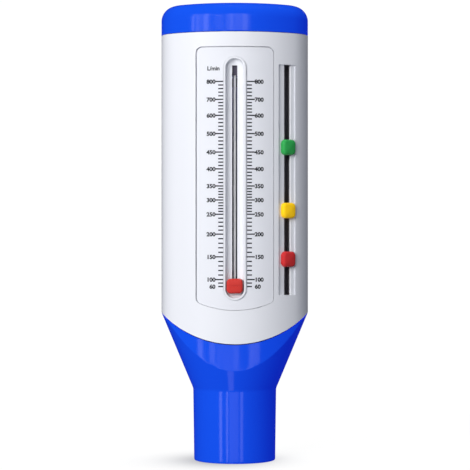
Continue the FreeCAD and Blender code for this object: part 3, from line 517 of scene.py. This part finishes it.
WHITE = moulded("case_white", (0.83, 0.84, 0.875), 0.30, variation=0.004, wear=0.03, specular=0.4)
# The blue glows evenly: painted light that keeps its shaded side bright blue.
GLOWING_BLUE = moulded("glowing_blue", (0.006, 0.078, 0.45), 0.12, wear=0.05, depth=0.002,
               glow=(0.001, 0.004, 0.38))
# A dark copy of the blue without its glow: painted shade for the shoulders in the seam gaps.
SEAM_SHADE_BLUE = moulded("painted_shade_blue", (0.004, 0.012, 0.10), 0.5, variation=0.05, specular=0.2)
LABEL = moulded("label_film", (0.81, 0.82, 0.86), 0.38, variation=0.004, wear=0.05, depth=0.002,
                specular=0.35)
INK = moulded("scale_ink", (0.018, 0.018, 0.022), 0.5, variation=0.15, depth=0.001, specular=0.3)
INNER = moulded("inner_grey", (0.66, 0.68, 0.71), 0.42)
BLACK = moulded("black_plastic", (0.012, 0.012, 0.014), 0.45, variation=0.1, specular=0.35)
TRACK = moulded("dark_grey_track", (0.21, 0.20, 0.22), 0.5, variation=0.08, specular=0.35)
HOLDER = moulded("dark_grey_rubber", (0.09, 0.08, 0.11), 0.6, variation=0.1, specular=0.25)
RUBBER = moulded("black_rubber", (0.014, 0.014, 0.014), 0.72, variation=0.15, depth=0.01, specular=0.25)
STEEL = moulded("bright_steel", (0.78, 0.78, 0.79), 0.16, variation=0.04, depth=0.0015, metallic=1.0,
                stretch=DRAWN)
SLIDE_WIRE = moulded("drawn_wire", (0.95, 0.95, 0.93), 0.35, variation=0.04, depth=0.0015, metallic=0.25,
                     stretch=DRAWN)
SPRING_WIRE = moulded("spring_steel", (0.55, 0.56, 0.58), 0.3, variation=0.08, depth=0.002, metallic=1.0)
NYLON = moulded("nylon", (0.76, 0.75, 0.69), 0.4, variation=0.02, scatter=0.2)
POINTER = moulded("pointer_red", (0.63, 0.040, 0.031), 0.34, variation=0.05, specular=0.4)
GREEN = moulded("marker_green", (0.03, 0.38, 0.080), 0.34, variation=0.05, specular=0.4)
# The yellow glows a little: painted light that makes it brighter than its colour alone would be.
GLOWING_YELLOW = moulded("marker_yellow", (1.0, 0.62, 0.006), 0.34, variation=0.04, specular=0.4,
                 glow=(0.13, 0.06, 0.0))
RED = moulded("marker_red", (0.62, 0.028, 0.03), 0.34, variation=0.05, specular=0.4)

CAD_FINISHES = {
    "flow_tube": INNER, "rod_spider": INNER, "rod_bridge": INNER, "piston": INNER,
    "seal_ring": RUBBER, "lower_buffer": RUBBER, "upper_buffer": RUBBER, "wire_buffer": HOLDER,
    "guide_rod": STEEL, "guide_wire": SLIDE_WIRE, "rod_clip": SPRING_WIRE, "piston_bush": NYLON,
    "pointer_carriage": BLACK, "wire_foot": HOLDER, "marker_track": TRACK,
    "green_marker_clip": BLACK, "yellow_marker_clip": BLACK, "red_marker_clip": BLACK,
}


def finish(piece, material):
    piece.data.materials.clear()
    piece.data.materials.append(material)
    return piece


def dress(piece, material, slot, body, *nodes):
    """Gives a piece its material, sets it on its body and lets it stand for the nodes. The slot is not used.
    """
    finish(piece, material)
    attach(piece, body)
    if nodes:
        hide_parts(*nodes)


for node, material in CAD_FINISHES.items():
    finish(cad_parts[node], material)
    smooth(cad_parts[node], angle=25)


# Lid

def cap_shell():
    """The rounded oval lid with its skirt, vents and posts."""
    loops = [oval(CAVITY_INSET, CAP_CEILING), oval(CAVITY_INSET, SKIRT_FOOT), oval(SKIRT_INSET, SKIRT_FOOT)]
    # The bevel at the foot has a loop close over it, so that its shading stays narrow.
    loops += [oval(SKIRT_INSET, CAP_FOOT), oval(CAP_FOOT_BEVEL, CAP_FOOT)]
    loops += [oval(0, CAP_FOOT + CAP_FOOT_BEVEL), oval(0, CAP_FOOT + CAP_FOOT_BEVEL * 2.5)]
    loops += [oval(0, CAP_TOP - CAP_ROUNDING - CAP_FOOT_BEVEL)]
    steps = 24
    for i in range(steps + 1):
        lift = math.pi / 2 * i / steps
        inset = CAP_ROUNDING * (1 - math.cos(lift))
        loops.append(oval(inset, CAP_TOP - CAP_ROUNDING * (1 - math.sin(lift))))
    piece = loft("cap_shell", loops)
    vents = []
    for i in range(VENT_COUNT):
        x = VENT_PITCH * (i - (VENT_COUNT - 1) / 2)
        vents.append(box("vent", x - VENT_HALF_WIDTH, x + VENT_HALF_WIDTH, -VENT_LENGTH / 2, VENT_LENGTH / 2,
                         CAP_CEILING - OVERCUT, CAP_TOP + OVERCUT))
    combine(piece, "DIFFERENCE", *vents)
    posts = []
    for i in range(POST_COUNT):
        angle = math.pi / POST_COUNT + i * math.tau / POST_COUNT
        x, y = POST_CIRCLE * math.cos(angle), POST_CIRCLE * math.sin(angle)
        posts.append(cylinder("post", POST_RADIUS, x, y, POST_FOOT, CAP_CEILING + POST_ROOT))
    combine(piece, "UNION", *posts)
    return soften(piece, CAP_EDGE)


# Funnel

def funnel_radius(angle, z):
    """The outside at a height: the mouthpiece, then the cone, or the case's oval where that is smaller."""
    turn = math.atan(CONE_SLOPE)
    tangent = ROOT_ROUNDING * math.tan(turn / 2)
    above = z - MOUTH_LENGTH
    if above < -tangent:
        radius = MOUTH_TIP + (MOUTH_ROOT - MOUTH_TIP) * z / MOUTH_LENGTH
    elif above > tangent * math.cos(turn):
        radius = MOUTH_ROOT + CONE_SLOPE * above
    else:
        lift = above + tangent
        radius = MOUTH_ROOT + ROOT_ROUNDING - math.sqrt(ROOT_ROUNDING**2 - lift**2)
    if z <= CREASE_START:
        return radius
    gap = oval_radius(angle, 0) - radius
    return radius - (math.sqrt(gap**2 + CREASE_BLEND**2) - gap) / 2


def funnel_heights(angle, shelf):
    """The heights of the outside's points, close together at the root's rounding and at the crease."""
    under_seam, fine_step = 0.4, 0.2
    crease = MOUTH_LENGTH + (oval_radius(angle, 0) - MOUTH_ROOT) / CONE_SLOPE
    crease = min(crease, shelf - under_seam)
    heights = [MOUTH_LIP * 1.8] + [MOUTH_LENGTH * share for share in (0.3, 0.6, 0.85)]
    heights += [MOUTH_LENGTH + i * fine_step for i in range(-4, 7)]
    start, count = heights[-1], 12
    heights += [start + (crease - start) * i / count for i in range(1, count)]
    heights += [crease + rise for rise in (-0.3, -0.08, 0.0, 0.08, 0.3)]
    start, count = heights[-1], 8
    return heights + [start + (shelf - start) * i / count for i in range(1, count + 1)]


def funnel_section(angle):
    """Up the outside to the seam, in to the spigot, and down the cone and the bore to the tip."""
    lip_share, lip_rise, ledge, lead, cone_steps = 0.3, 0.13, 0.5, 0.2, 6
    shelf, step_in = seam_height(angle) - SEAM_GAP, seam_height(angle, SKIRT_INSET) - SEAM_GAP
    section = [(MOUTH_TIP - MOUTH_LIP, 0.0), (MOUTH_TIP - MOUTH_LIP * lip_share, lip_rise)]
    section += [(MOUTH_TIP, MOUTH_LIP)]
    section += [(funnel_radius(angle, z), z) for z in funnel_heights(angle, shelf)]
    widest = MOUTH_ROOT + CONE_SLOPE * (SPIGOT_TOP - MOUTH_LENGTH)
    spigot, cavity = min(oval_radius(angle, SKIRT_INSET), widest), oval_radius(angle, CAVITY_INSET)
    section += [(spigot, step_in), (spigot, SPIGOT_TOP), (cavity, SPIGOT_TOP)]
    low = min(SPIGOT_TOP - ledge, (cavity - CONE_INSIDE) / CONE_SLOPE)
    section += [(cavity, low + lead)]
    for i in range(cone_steps + 1):
        z = low + (SEAT_TOP - low) * i / cone_steps
        section.append((CONE_INSIDE + CONE_SLOPE * z, z))
    section += [(SEAT_RADIUS, SEAT_TOP), (SEAT_RADIUS, BORE_DEPTH), (MOUTH_BORE, BORE_DEPTH)]
    return section + [(MOUTH_BORE, BORE_DEPTH / 2), (MOUTH_BORE, BORE_LIP), (MOUTH_BORE + BORE_LIP, 0.0)]


def funnel_shell():
    """The round mouthpiece, the cone that flattens into the oval, and the spigot inside the case."""
    return smooth(turned_ring("funnel_shell", funnel_section), angle=40)


def shoulder_section(angle):
    """The funnel's shoulder, which fills the gap over the funnel to just under the surface."""
    foot = seam_height(angle) - SEAM_GAP
    inner, outer = oval_radius(angle, SKIRT_INSET), oval_radius(angle, SHOULDER_INSET)
    low, high = foot - SHOULDER_LAP, foot + SEAM_GAP
    return [(inner, low), (outer, low), (outer, high), (inner, high)]


def seam_shoulders():
    """The shoulders that show in the narrow gaps over and under the case, painted dark as shade."""
    low, high = CAP_SEAM, CAP_FOOT + SHOULDER_LAP
    section = ((SHOULDER_ROOT, low), (SHOULDER_INSET, low), (SHOULDER_INSET, high), (SHOULDER_ROOT, high))
    lid = loft("lid_shoulder", [oval(inset, z) for inset, z in section], ring=True)
    funnel = turned_ring("funnel_shoulder", shoulder_section)
    return smooth(join("seam_shoulders", [lid, funnel]))


# Case and label

def groove_cutter():
    """The space of the pointer's groove: steep sides, a flat floor and round ends that rise the same way."""
    half, flat = GROOVE_HALF_WIDTH, GROOVE_FLATNESS
    columns, steps = 40, 16
    # The outermost sections stay this share of the way to the ends, so that they keep a width.
    nearly = 0.999
    turns = [math.pi / 2 * i / steps for i in range(steps + 1)]
    stations = [GROOVE_LOW - half * math.cos(turn) * nearly for turn in turns]
    stations += [GROOVE_HIGH + half * math.sin(turn) * nearly for turn in turns]
    loops = []
    for z in stations:
        beyond = max(GROOVE_LOW - z, z - GROOVE_HIGH, 0) / half
        width = half * math.sqrt(1 - beyond**2)
        section = [(width, -HALF_DEPTH - OVERCUT), (-width, -HALF_DEPTH - OVERCUT)]
        for j in range(columns + 1):
            across = -math.cos(math.pi * j / columns)
            reach = min(1.0, math.hypot(across * width / half, beyond))
            depth = GROOVE_DEPTH * (1 - reach**flat) ** (1 / flat)
            section.append((across * width, depth - HALF_DEPTH))
        loops.append([(x, y, z) for x, y in section])
    return loft("groove", loops)


def channel_cutter():
    """The markers' channel. Its right wall runs straight back, as the mould draws it."""
    half, slant = CHANNEL_HALF_WIDTH, math.tan(MARKER_TURN)
    lip = half**2 / (2 * WIDE_RADIUS)
    front_right = half - slant * (OVERCUT + lip)
    back_right = half + slant * (CHANNEL_DEPTH - lip)
    front_y, back_y = -OVERCUT, CHANNEL_DEPTH
    section = ((-half, front_y), (front_right, front_y), (back_right, back_y), (-half, back_y))
    loops = [[(x, y, z) for x, y in section] for z in (CHANNEL_LOW, CHANNEL_HIGH)]
    return to_channel(loft("channel", loops))


def marker_slot_cutter():
    left = MARKER_SLOT_SHIFT - MARKER_SLOT_HALF_WIDTH
    right = MARKER_SLOT_SHIFT + MARKER_SLOT_HALF_WIDTH
    slot = box("marker_slot", left, right, -OVERCUT, CASE_WALL + OVERCUT, CHANNEL_LOW, CHANNEL_HIGH)
    return to_channel(slot)


def foot_cutter():
    """All that lies under the arched seam."""
    side = HALF_WIDTH + 2 * OVERCUT
    lean = math.asin(side / SEAM_RADIUS)
    arch = arc(0, SEAM_CENTRE, SEAM_RADIUS - SEAM_FIT, 1.5 * math.pi - lean, 1.5 * math.pi + lean, 160)
    arch += [(side, SEAM_BOTTOM - OVERCUT), (-side, SEAM_BOTTOM - OVERCUT)]
    return prism_y("foot", arch, -HALF_DEPTH - OVERCUT, HALF_DEPTH + OVERCUT)


def case_shell():
    """The white oval moulding with its groove, rim, slot, label recess and marker channel."""
    below, above = SEAM_BOTTOM - OVERCUT, CAP_SEAM + OVERCUT
    piece = oval_post("case_shell", 0, SEAM_BOTTOM, CAP_SEAM)
    combine(piece, "DIFFERENCE", oval_post("inside", CASE_WALL, below, above))
    recess = prism_y("recess", label_outline(0), -HALF_DEPTH - OVERCUT, -HALF_DEPTH / 2)
    combine(recess, "DIFFERENCE", oval_post("recess_floor", LABEL_RECESS, below, above))
    combine(piece, "DIFFERENCE", recess)
    trough = capsule("trough", GROOVE_RADIUS + GROOVE_WALL, -GROOVE_AXIS, GROOVE_LOW, GROOVE_HIGH)
    # The trough stands this far out of the recess's floor, so that their faces don't meet.
    trough_stand = 0.1
    limit = oval_post("trough_limit", LABEL_RECESS - trough_stand, SEAM_BOTTOM, CAP_SEAM)
    combine(trough, "INTERSECT", limit)
    outline = stadium(RIM_HALF_WIDTH, GROOVE_LOW, GROOVE_HIGH)
    rim = prism_y("rim", outline, -RIM_FRONT, -HALF_DEPTH + LABEL_RECESS + RIM_ROOT)
    combine(piece, "UNION", trough, rim)
    slot_back = -GROOVE_BACK + OVERCUT
    slot = box("slot", -SLOT_HALF_WIDTH, SLOT_HALF_WIDTH, -HALF_DEPTH, slot_back, SLOT_LOW, SLOT_HIGH)
    cutters = (groove_cutter(), slot, channel_cutter(), marker_slot_cutter(), foot_cutter())
    combine(piece, "DIFFERENCE", *cutters)
    return soften(piece)


def label_plate():
    """The thin printed plate in its recess."""
    piece = oval_post("label_plate", LABEL_FACE, SEAM_BOTTOM, CAP_SEAM)
    back = oval_post("label_back", LABEL_RECESS, SEAM_BOTTOM - OVERCUT, CAP_SEAM + OVERCUT)
    combine(piece, "DIFFERENCE", back)
    sheet = label_outline(LABEL_GAP, *LABEL_SHIFT)
    combine(piece, "INTERSECT", prism_y("label_sheet", sheet, -HALF_DEPTH - OVERCUT, -HALF_DEPTH / 2))
    opening = stadium(RIM_HALF_WIDTH + LABEL_RIM_GAP, GROOVE_LOW, GROOVE_HIGH)
    combine(piece, "DIFFERENCE", prism_y("label_opening", opening, -HALF_DEPTH - OVERCUT, 0))
    return soften(piece)


dress(case_shell(), WHITE, "white_case", "case", "barrel")
dress(cap_shell(), GLOWING_BLUE, "blue_gloss", "case", "top_cap")
dress(funnel_shell(), GLOWING_BLUE, "blue_gloss", "case", "mouthpiece_funnel")
dress(label_plate(), LABEL, "label_film", "case", "scale_label")
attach(finish(seam_shoulders(), SEAM_SHADE_BLUE), "case")


# Printed scale

# Each reading with the height of its line, and how many spaces lie between it and the next lower one.
SCALE = (
    (800, 136.9, 5), (700, 130.5, 5), (600, 124.8, 5), (500, 118.3, 5), (450, 111.7, 5),
    (400, 105.7, 5), (350, 99.6, 5), (300, 94.6, 5), (250, 89.5, 5), (200, 82.4, 5),
    (150, 74.3, 5), (100, 66.2, 2), (60, 63.7, 0),
)
PRINT_CENTRE = 0.14
TICK_INNER = 4.25
TICK_MINOR = 1.77
TICK_MAJOR = 2.8
TICK_HALF_THICKNESS = 0.225
DIGIT_HEIGHT = 1.45
DIGIT_STRETCH = 1.06
DIGIT_WEIGHT = 0.045
DIGIT_CENTRE = 8.6
SHORT_DIGIT_CENTRE = 8.1
UNIT_CENTRE = -7.74
UNIT_HEIGHT = 141.65
UNIT_WEIGHT = 0.035
INK_RISE = 0.02
# The height of a capital in Blender's own font at size 1.
CAPITAL = 0.73


def on_label(x, z, rise):
    """A point over the label's face by rise, or under it where rise is negative."""
    return (x, front(x, LABEL_FACE) - rise, z)


def tick(bm, x_low, x_high, z):
    """A short printed line, curved with the label."""
    low, high = z - TICK_HALF_THICKNESS, z + TICK_HALF_THICKNESS
    corners = ((low, INK_RISE), (high, INK_RISE), (high, -INK_RISE), (low, -INK_RISE))
    columns = 4
    loops = []
    for i in range(columns + 1):
        x = x_low + (x_high - x_low) * i / columns
        loops.append([on_label(x, height, rise) for height, rise in corners])
    add_loft(bm, loops)


def tick_rows():
    """The height and the length of each line: long at a reading, but short between and at the lowest."""
    rows = []
    for (_, height, spaces), (_, lower, _) in zip(SCALE, SCALE[1:]):
        rows.append((height, TICK_MAJOR))
        rows += [(height + (lower - height) * i / spaces, TICK_MINOR) for i in range(1, spaces)]
    _, lowest, _ = SCALE[-1]
    return rows + [(lowest, TICK_MINOR)]


def scale_lines():
    bm = bmesh.new()
    for z, length in tick_rows():
        for side in (-1, 1):
            left, right = sorted((side * TICK_INNER, side * (TICK_INNER + length)))
            tick(bm, PRINT_CENTRE + left, PRINT_CENTRE + right, z)
    return from_bmesh("scale_lines", bm)


def lettering(text, x, z, weight, stretch):
    """A word of the print, laid on the label with its middle at x and z."""
    curve = bpy.data.curves.new("print", "FONT")
    curve.body = text
    curve.size = 1.0
    curve.align_x = "CENTER"
    curve.extrude = 0.01
    curve.offset = weight
    curve.resolution_u = 4
    source = new_object("print", curve)
    bpy.context.view_layer.update()
    mesh = bpy.data.meshes.new_from_object(source.evaluated_get(bpy.context.evaluated_depsgraph_get()))
    bpy.data.objects.remove(source)
    factor = DIGIT_HEIGHT / CAPITAL
    for vertex in mesh.vertices:
        u, v, w = vertex.co
        rise = INK_RISE if w > 0 else -INK_RISE
        vertex.co = Vector(on_label(x + u * factor * stretch, z + (v - CAPITAL / 2) * factor, rise)) * MM
    return new_object("print", mesh)


def scale_numbers():
    """The unit over the scale, and each reading on both sides."""
    words = [lettering("L/min", PRINT_CENTRE + UNIT_CENTRE, UNIT_HEIGHT, UNIT_WEIGHT, 1.0)]
    for value, height, _ in SCALE:
        centre = DIGIT_CENTRE if value >= 100 else SHORT_DIGIT_CENTRE
        for side in (-1, 1):
            x = PRINT_CENTRE + side * centre
            words.append(lettering(str(value), x, height, DIGIT_WEIGHT, DIGIT_STRETCH))
    return join("scale_numbers", words)


dress(scale_lines(), INK, "scale_ink", "case")
dress(scale_numbers(), INK, "scale_ink", "case")


# Knobs

def pillow(name, half_x, half_z, corner, back, face, edge, dome, z_centre=0.0):
    """A moulded knob seen along Y: round corners, a rounded front edge and a slightly domed face."""
    steps, back_edge, least_corner = 8, 0.12, 0.01

    def loop(inset, y):
        outline = rounded_rectangle(half_x - inset, half_z - inset, corner - inset)
        return [(x, y, z + z_centre) for x, z in outline]

    loops = [loop(back_edge, back), loop(0.0, back - back_edge)]
    for i in range(steps + 1):
        lift = math.pi / 2 * i / steps
        loops.append(loop(edge * (1 - math.cos(lift)), face + dome + edge * (1 - math.sin(lift))))
    flat_x, flat_z = half_x - edge, half_z - edge
    for share in (0.85, 0.65, 0.45, 0.25, 0.1):
        y = face + dome - dome * (1 - share**2)
        outline = rounded_rectangle(flat_x * share, flat_z * share, (corner - edge) * share + least_corner)
        loops.append([(x, y, z + z_centre) for x, z in outline])
    return loft(name, loops)


def marker_knob(colour, height):
    """A marker's knob on the channel, its neck through the slot and its barbed head."""
    size, back, middle = MARKER_HALF_SIZE, CHANNEL_DEPTH - MARKER_FLOAT, MARKER_SLOT_SHIFT
    piece = pillow(f"{colour}_knob", size, size, MARKER_CORNER, back, MARKER_FACE, MARKER_EDGE, MARKER_DOME)
    shift(piece, x=MARKER_SHIFT)
    low, high = -NECK_HALF_HEIGHT, NECK_HALF_HEIGHT
    neck_half = MARKER_SLOT_HALF_WIDTH - NECK_GAP
    neck = box("neck", middle - neck_half, middle + neck_half, back - NECK_ROOT, NECK_END, low, high)
    left, right = middle - HEAD_HALF_WIDTH, middle + HEAD_HALF_WIDTH
    head = box("head", left, right, NECK_END, NECK_END + HEAD_THICKNESS, low, high)
    combine(piece, "UNION", neck, head)
    to_channel(soften(piece))
    shift(piece, z=height)
    return piece


def pointer_block():
    """The red knob in the groove, its back curved to the groove, with a reading line across its face."""
    (_, face, low), (half_x, _, high) = node_box("pointer_knob")
    centre = middle_height("pointer_knob")
    back = -GROOVE_AXIS + GROOVE_RADIUS - POINTER_GAP
    piece = pillow("pointer_block", half_x, round(high - low, 2) / 2, POINTER_CORNER, back, face,
                   POINTER_EDGE, POINTER_DOME, centre)
    ball = GROOVE_RADIUS - POINTER_GAP
    combine(piece, "INTERSECT", capsule("keep", ball, -GROOVE_AXIS, GROOVE_LOW, 2 * centre - GROOVE_LOW))
    line = box("line", -half_x - OVERCUT, half_x + OVERCUT, face - OVERCUT, face + LINE_DEPTH,
               centre - LINE_HALF_HEIGHT, centre + LINE_HALF_HEIGHT)
    socket = box("socket", -SOCKET_HALF_WIDTH, SOCKET_HALF_WIDTH, SOCKET_FRONT, SOCKET_BACK,
                 centre - SOCKET_HALF_HEIGHT, centre + SOCKET_HALF_HEIGHT)
    combine(piece, "DIFFERENCE", line, socket)
    return soften(piece)


for colour, material in (("green", GREEN), ("yellow", GLOWING_YELLOW), ("red", RED)):
    node = f"{colour}_marker"
    dress(marker_knob(colour, middle_height(node)), material, f"marker_{colour}", colour, node)
dress(pointer_block(), POINTER, "pointer_red", "pointer", "pointer_knob")


# Spring

def spring_coil():
    """The coil between the lower support and the piston, drawn at one length, though the real one stretches
    as the piston rises.
    """
    low, high = (corner.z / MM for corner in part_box("piston_spring"))
    steps, sides = 40, 10
    count = COIL_TURNS * steps
    loops = []
    for i in range(count + 1):
        angle = math.tau * i / steps
        c, s = math.cos(angle), math.sin(angle)
        z = low + COIL_WIRE + (high - low - 2 * COIL_WIRE) * i / count
        circle = arc(COIL_RADIUS, z, COIL_WIRE, 0, math.tau, sides)
        loops.append([(radius * c, radius * s, height) for radius, height in circle])
    piece = smooth(loft("spring_coil", loops), angle=50)
    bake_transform(piece)
    return piece


spring = finish(spring_coil(), SPRING_WIRE)
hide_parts("piston_spring")


# Studio

# The floor's radius, and where it starts and ends to fade out.
FLOOR_RADIUS = 600.0
FLOOR_SOLID = 120.0
FLOOR_FADED = 420.0
FLOOR_LEVEL = 0.9
SHADOW_CENTRE = (-4.0, -1.0)
SHADOW_REACH = (11.9, 15.0)
SHADOW_DEPTH = 0.62


def studio_floor():
    """A round floor, white by its own glow, which is dimmer round the meter as a soft contact shadow."""
    bm = bmesh.new()
    bm.faces.new([bm.verts.new((x, y, 0)) for x, y in arc(0, 0, FLOOR_RADIUS, 0, math.tau, 96)])
    piece = from_bmesh("floor", bm)
    material, nodes, links, shader = node_material("floor_paper")
    shader.inputs["Base Color"].default_value = (0.13, 0.13, 0.12, 1)
    shader.inputs["Roughness"].default_value = 0.9
    shader.inputs["Specular IOR Level"].default_value = 0.0
    shader.inputs["Emission Color"].default_value = (1, 1, 1, 1)
    place = nodes.new("ShaderNodeTexCoord")

    def distance(centre, scale):
        """The distance from a centre in millimetres, over the scale along X and along Y."""
        mapping = nodes.new("ShaderNodeMapping")
        mapping.inputs["Scale"].default_value = (1 / (scale[0] * MM), 1 / (scale[1] * MM), 0)
        mapping.inputs["Location"].default_value = (-centre[0] / scale[0], -centre[1] / scale[1], 0)
        length = nodes.new("ShaderNodeVectorMath")
        length.operation = "LENGTH"
        links.new(place.outputs["Object"], mapping.inputs["Vector"])
        links.new(mapping.outputs["Vector"], length.inputs[0])
        return length.outputs["Value"]

    def maths(operation, first, second):
        """The result of one operation on two numbers, either of them from a node."""
        node = nodes.new("ShaderNodeMath")
        node.operation = operation
        for socket, value in zip(node.inputs, (first, second)):
            if isinstance(value, float):
                socket.default_value = value
            else:
                links.new(value, socket)
        return node.outputs[0]

    far = distance(SHADOW_CENTRE, SHADOW_REACH)
    bell = maths("POWER", math.exp(-0.5), maths("MULTIPLY", far, far))
    lit = maths("SUBTRACT", 1.0, maths("MULTIPLY", bell, SHADOW_DEPTH))
    links.new(maths("MULTIPLY", lit, FLOOR_LEVEL), shader.inputs["Emission Strength"])
    fade = nodes.new("ShaderNodeMapRange")
    fade.interpolation_type = "SMOOTHSTEP"
    fade.inputs["From Min"].default_value = FLOOR_SOLID
    fade.inputs["From Max"].default_value = FLOOR_FADED
    fade.inputs["To Min"].default_value = 1.0
    fade.inputs["To Max"].default_value = 0.0
    links.new(distance((0.0, 0.0), (1.0, 1.0)), fade.inputs["Value"])
    links.new(fade.outputs["Result"], shader.inputs["Alpha"])
    piece.data.materials.append(material)
    piece.visible_glossy = False
    piece.visible_diffuse = False


def studio_world():
    """White to the camera, an even dim surround to soft light and nearly dark to reflections."""
    world = bpy.data.worlds.new("studio")
    world.use_nodes = True
    scene.world = world
    nodes, links = world.node_tree.nodes, world.node_tree.links
    nodes.clear()
    path = nodes.new("ShaderNodeLightPath")
    out = nodes.new("ShaderNodeOutputWorld")

    def shade(level, tint=(1, 1, 1)):
        node = nodes.new("ShaderNodeBackground")
        node.inputs["Color"].default_value = (*tint, 1)
        node.inputs["Strength"].default_value = level
        return node.outputs[0]

    def choose(ray, otherwise, for_ray):
        """One shade for a kind of ray and another for the rest."""
        node = nodes.new("ShaderNodeMixShader")
        links.new(path.outputs[ray], node.inputs["Fac"])
        links.new(otherwise, node.inputs[1])
        links.new(for_ray, node.inputs[2])
        return node.outputs[0]

    soft, gloss, seen = shade(0.225, (0.90, 0.95, 1.10)), shade(0.012), shade(1.02)
    surround = choose("Is Glossy Ray", soft, gloss)
    links.new(choose("Is Camera Ray", surround, seen), out.inputs["Surface"])


def area_light(name, azimuth, height, distance, width, tall, power, aim, glossy=False):
    """A soft panel that faces the axis at the height of its aim, or one that only reflections see.

    Its azimuth is in degrees from the camera, to the reader's right.
    """
    data = bpy.data.lights.new(name, "AREA")
    data.shape = "RECTANGLE"
    data.size, data.size_y = width * MM, tall * MM
    data.energy = power
    lamp = new_object(name, data)
    turn = math.radians(azimuth)
    lamp.location = Vector((math.sin(turn) * distance, -math.cos(turn) * distance, height)) * MM
    direction = Vector((0, 0, aim * MM)) - lamp.location
    lamp.rotation_euler = direction.to_track_quat("-Z", "Y").to_euler()
    lamp.visible_camera = False
    lamp.visible_glossy = glossy
    lamp.visible_diffuse = not glossy


studio_floor()
studio_world()
area_light("key", azimuth=-30, height=300, distance=840, width=560, tall=420, power=7.4, aim=82)
area_light("top", azimuth=125, height=1000, distance=230, width=600, tall=600, power=5.5, aim=0)
area_light("back", azimuth=175, height=300, distance=1000, width=600, tall=500, power=1.5, aim=82)

# Tall lit strips for the reflections: the lowest row shows in the round mouthpiece, the middle one in
# the oval and the highest in the lid. A row has its lowest and highest point, and each of its strips
# has an azimuth, an angular width and a strength. The power is in watts for each square millimetre.
STRIP_DISTANCE = 1000.0
STRIP_POWER = 0.000008
STRIPS = (
    (-260, -47, (
        (-39.3, 7.5, 0.7), (-21.0, 4.5, 0.75), (-2.0, 26.0, 0.24), (19.0, 8.0, 0.45),
    )),
    (-43, 8, (
        (-42.7, 6.5, 0.8), (-27.3, 7.0, 0.6), (-8.0, 26.0, 0.25), (2.0, 6.0, 0.2), (24.0, 13.0, 0.5),
    )),
    (200, 700, (
        (-52.0, 3.2, 0.8), (-46.0, 2.6, 0.8), (-42.0, 1.6, 0.5), (-35.3, 6.6, 0.7), (-18.0, 10.0, 0.12),
        (-8.2, 4.5, 0.35), (-3.7, 4.0, 0.7), (3.8, 9.0, 0.4), (12.4, 6.5, 0.65), (17.5, 3.0, 0.2),
    )),
)
for low, high, row in STRIPS:
    middle, tall = (low + high) / 2, high - low
    for azimuth, angle, level in row:
        width = 2 * STRIP_DISTANCE * math.tan(math.radians(angle / 2))
        power = level * width * tall * STRIP_POWER
        area_light(f"strip_{low}_{azimuth:.0f}", azimuth, middle, STRIP_DISTANCE, width, tall, power,
                   aim=middle, glossy=True)
# One more from far below, for the underside of the cone.
area_light("strip_cone", azimuth=-12, height=-650, distance=700, width=190, tall=420, power=0.19, aim=40,
           glossy=True)


# Camera, level and at about half the meter's height

CAMERA_DISTANCE = 730.0
CAMERA_HEIGHT = 82.1
IMAGE_PIXELS = 470
FOCAL_PIXELS = 1996.6
AXIS_OFFSET_PIXELS = 0.3
SENSOR = 36.0

camera_data = bpy.data.cameras.new("camera")
camera_data.sensor_width = SENSOR
camera_data.lens = FOCAL_PIXELS * SENSOR / IMAGE_PIXELS
camera_data.clip_start = 0.01
camera = new_object("camera", camera_data)
camera_x = AXIS_OFFSET_PIXELS * CAMERA_DISTANCE / FOCAL_PIXELS
camera.location = Vector((camera_x, -CAMERA_DISTANCE, CAMERA_HEIGHT)) * MM
camera.rotation_euler = (math.pi / 2, 0, 0)
scene.camera = camera
scene.view_settings.view_transform = "Standard"
scene.view_settings.look = "None"
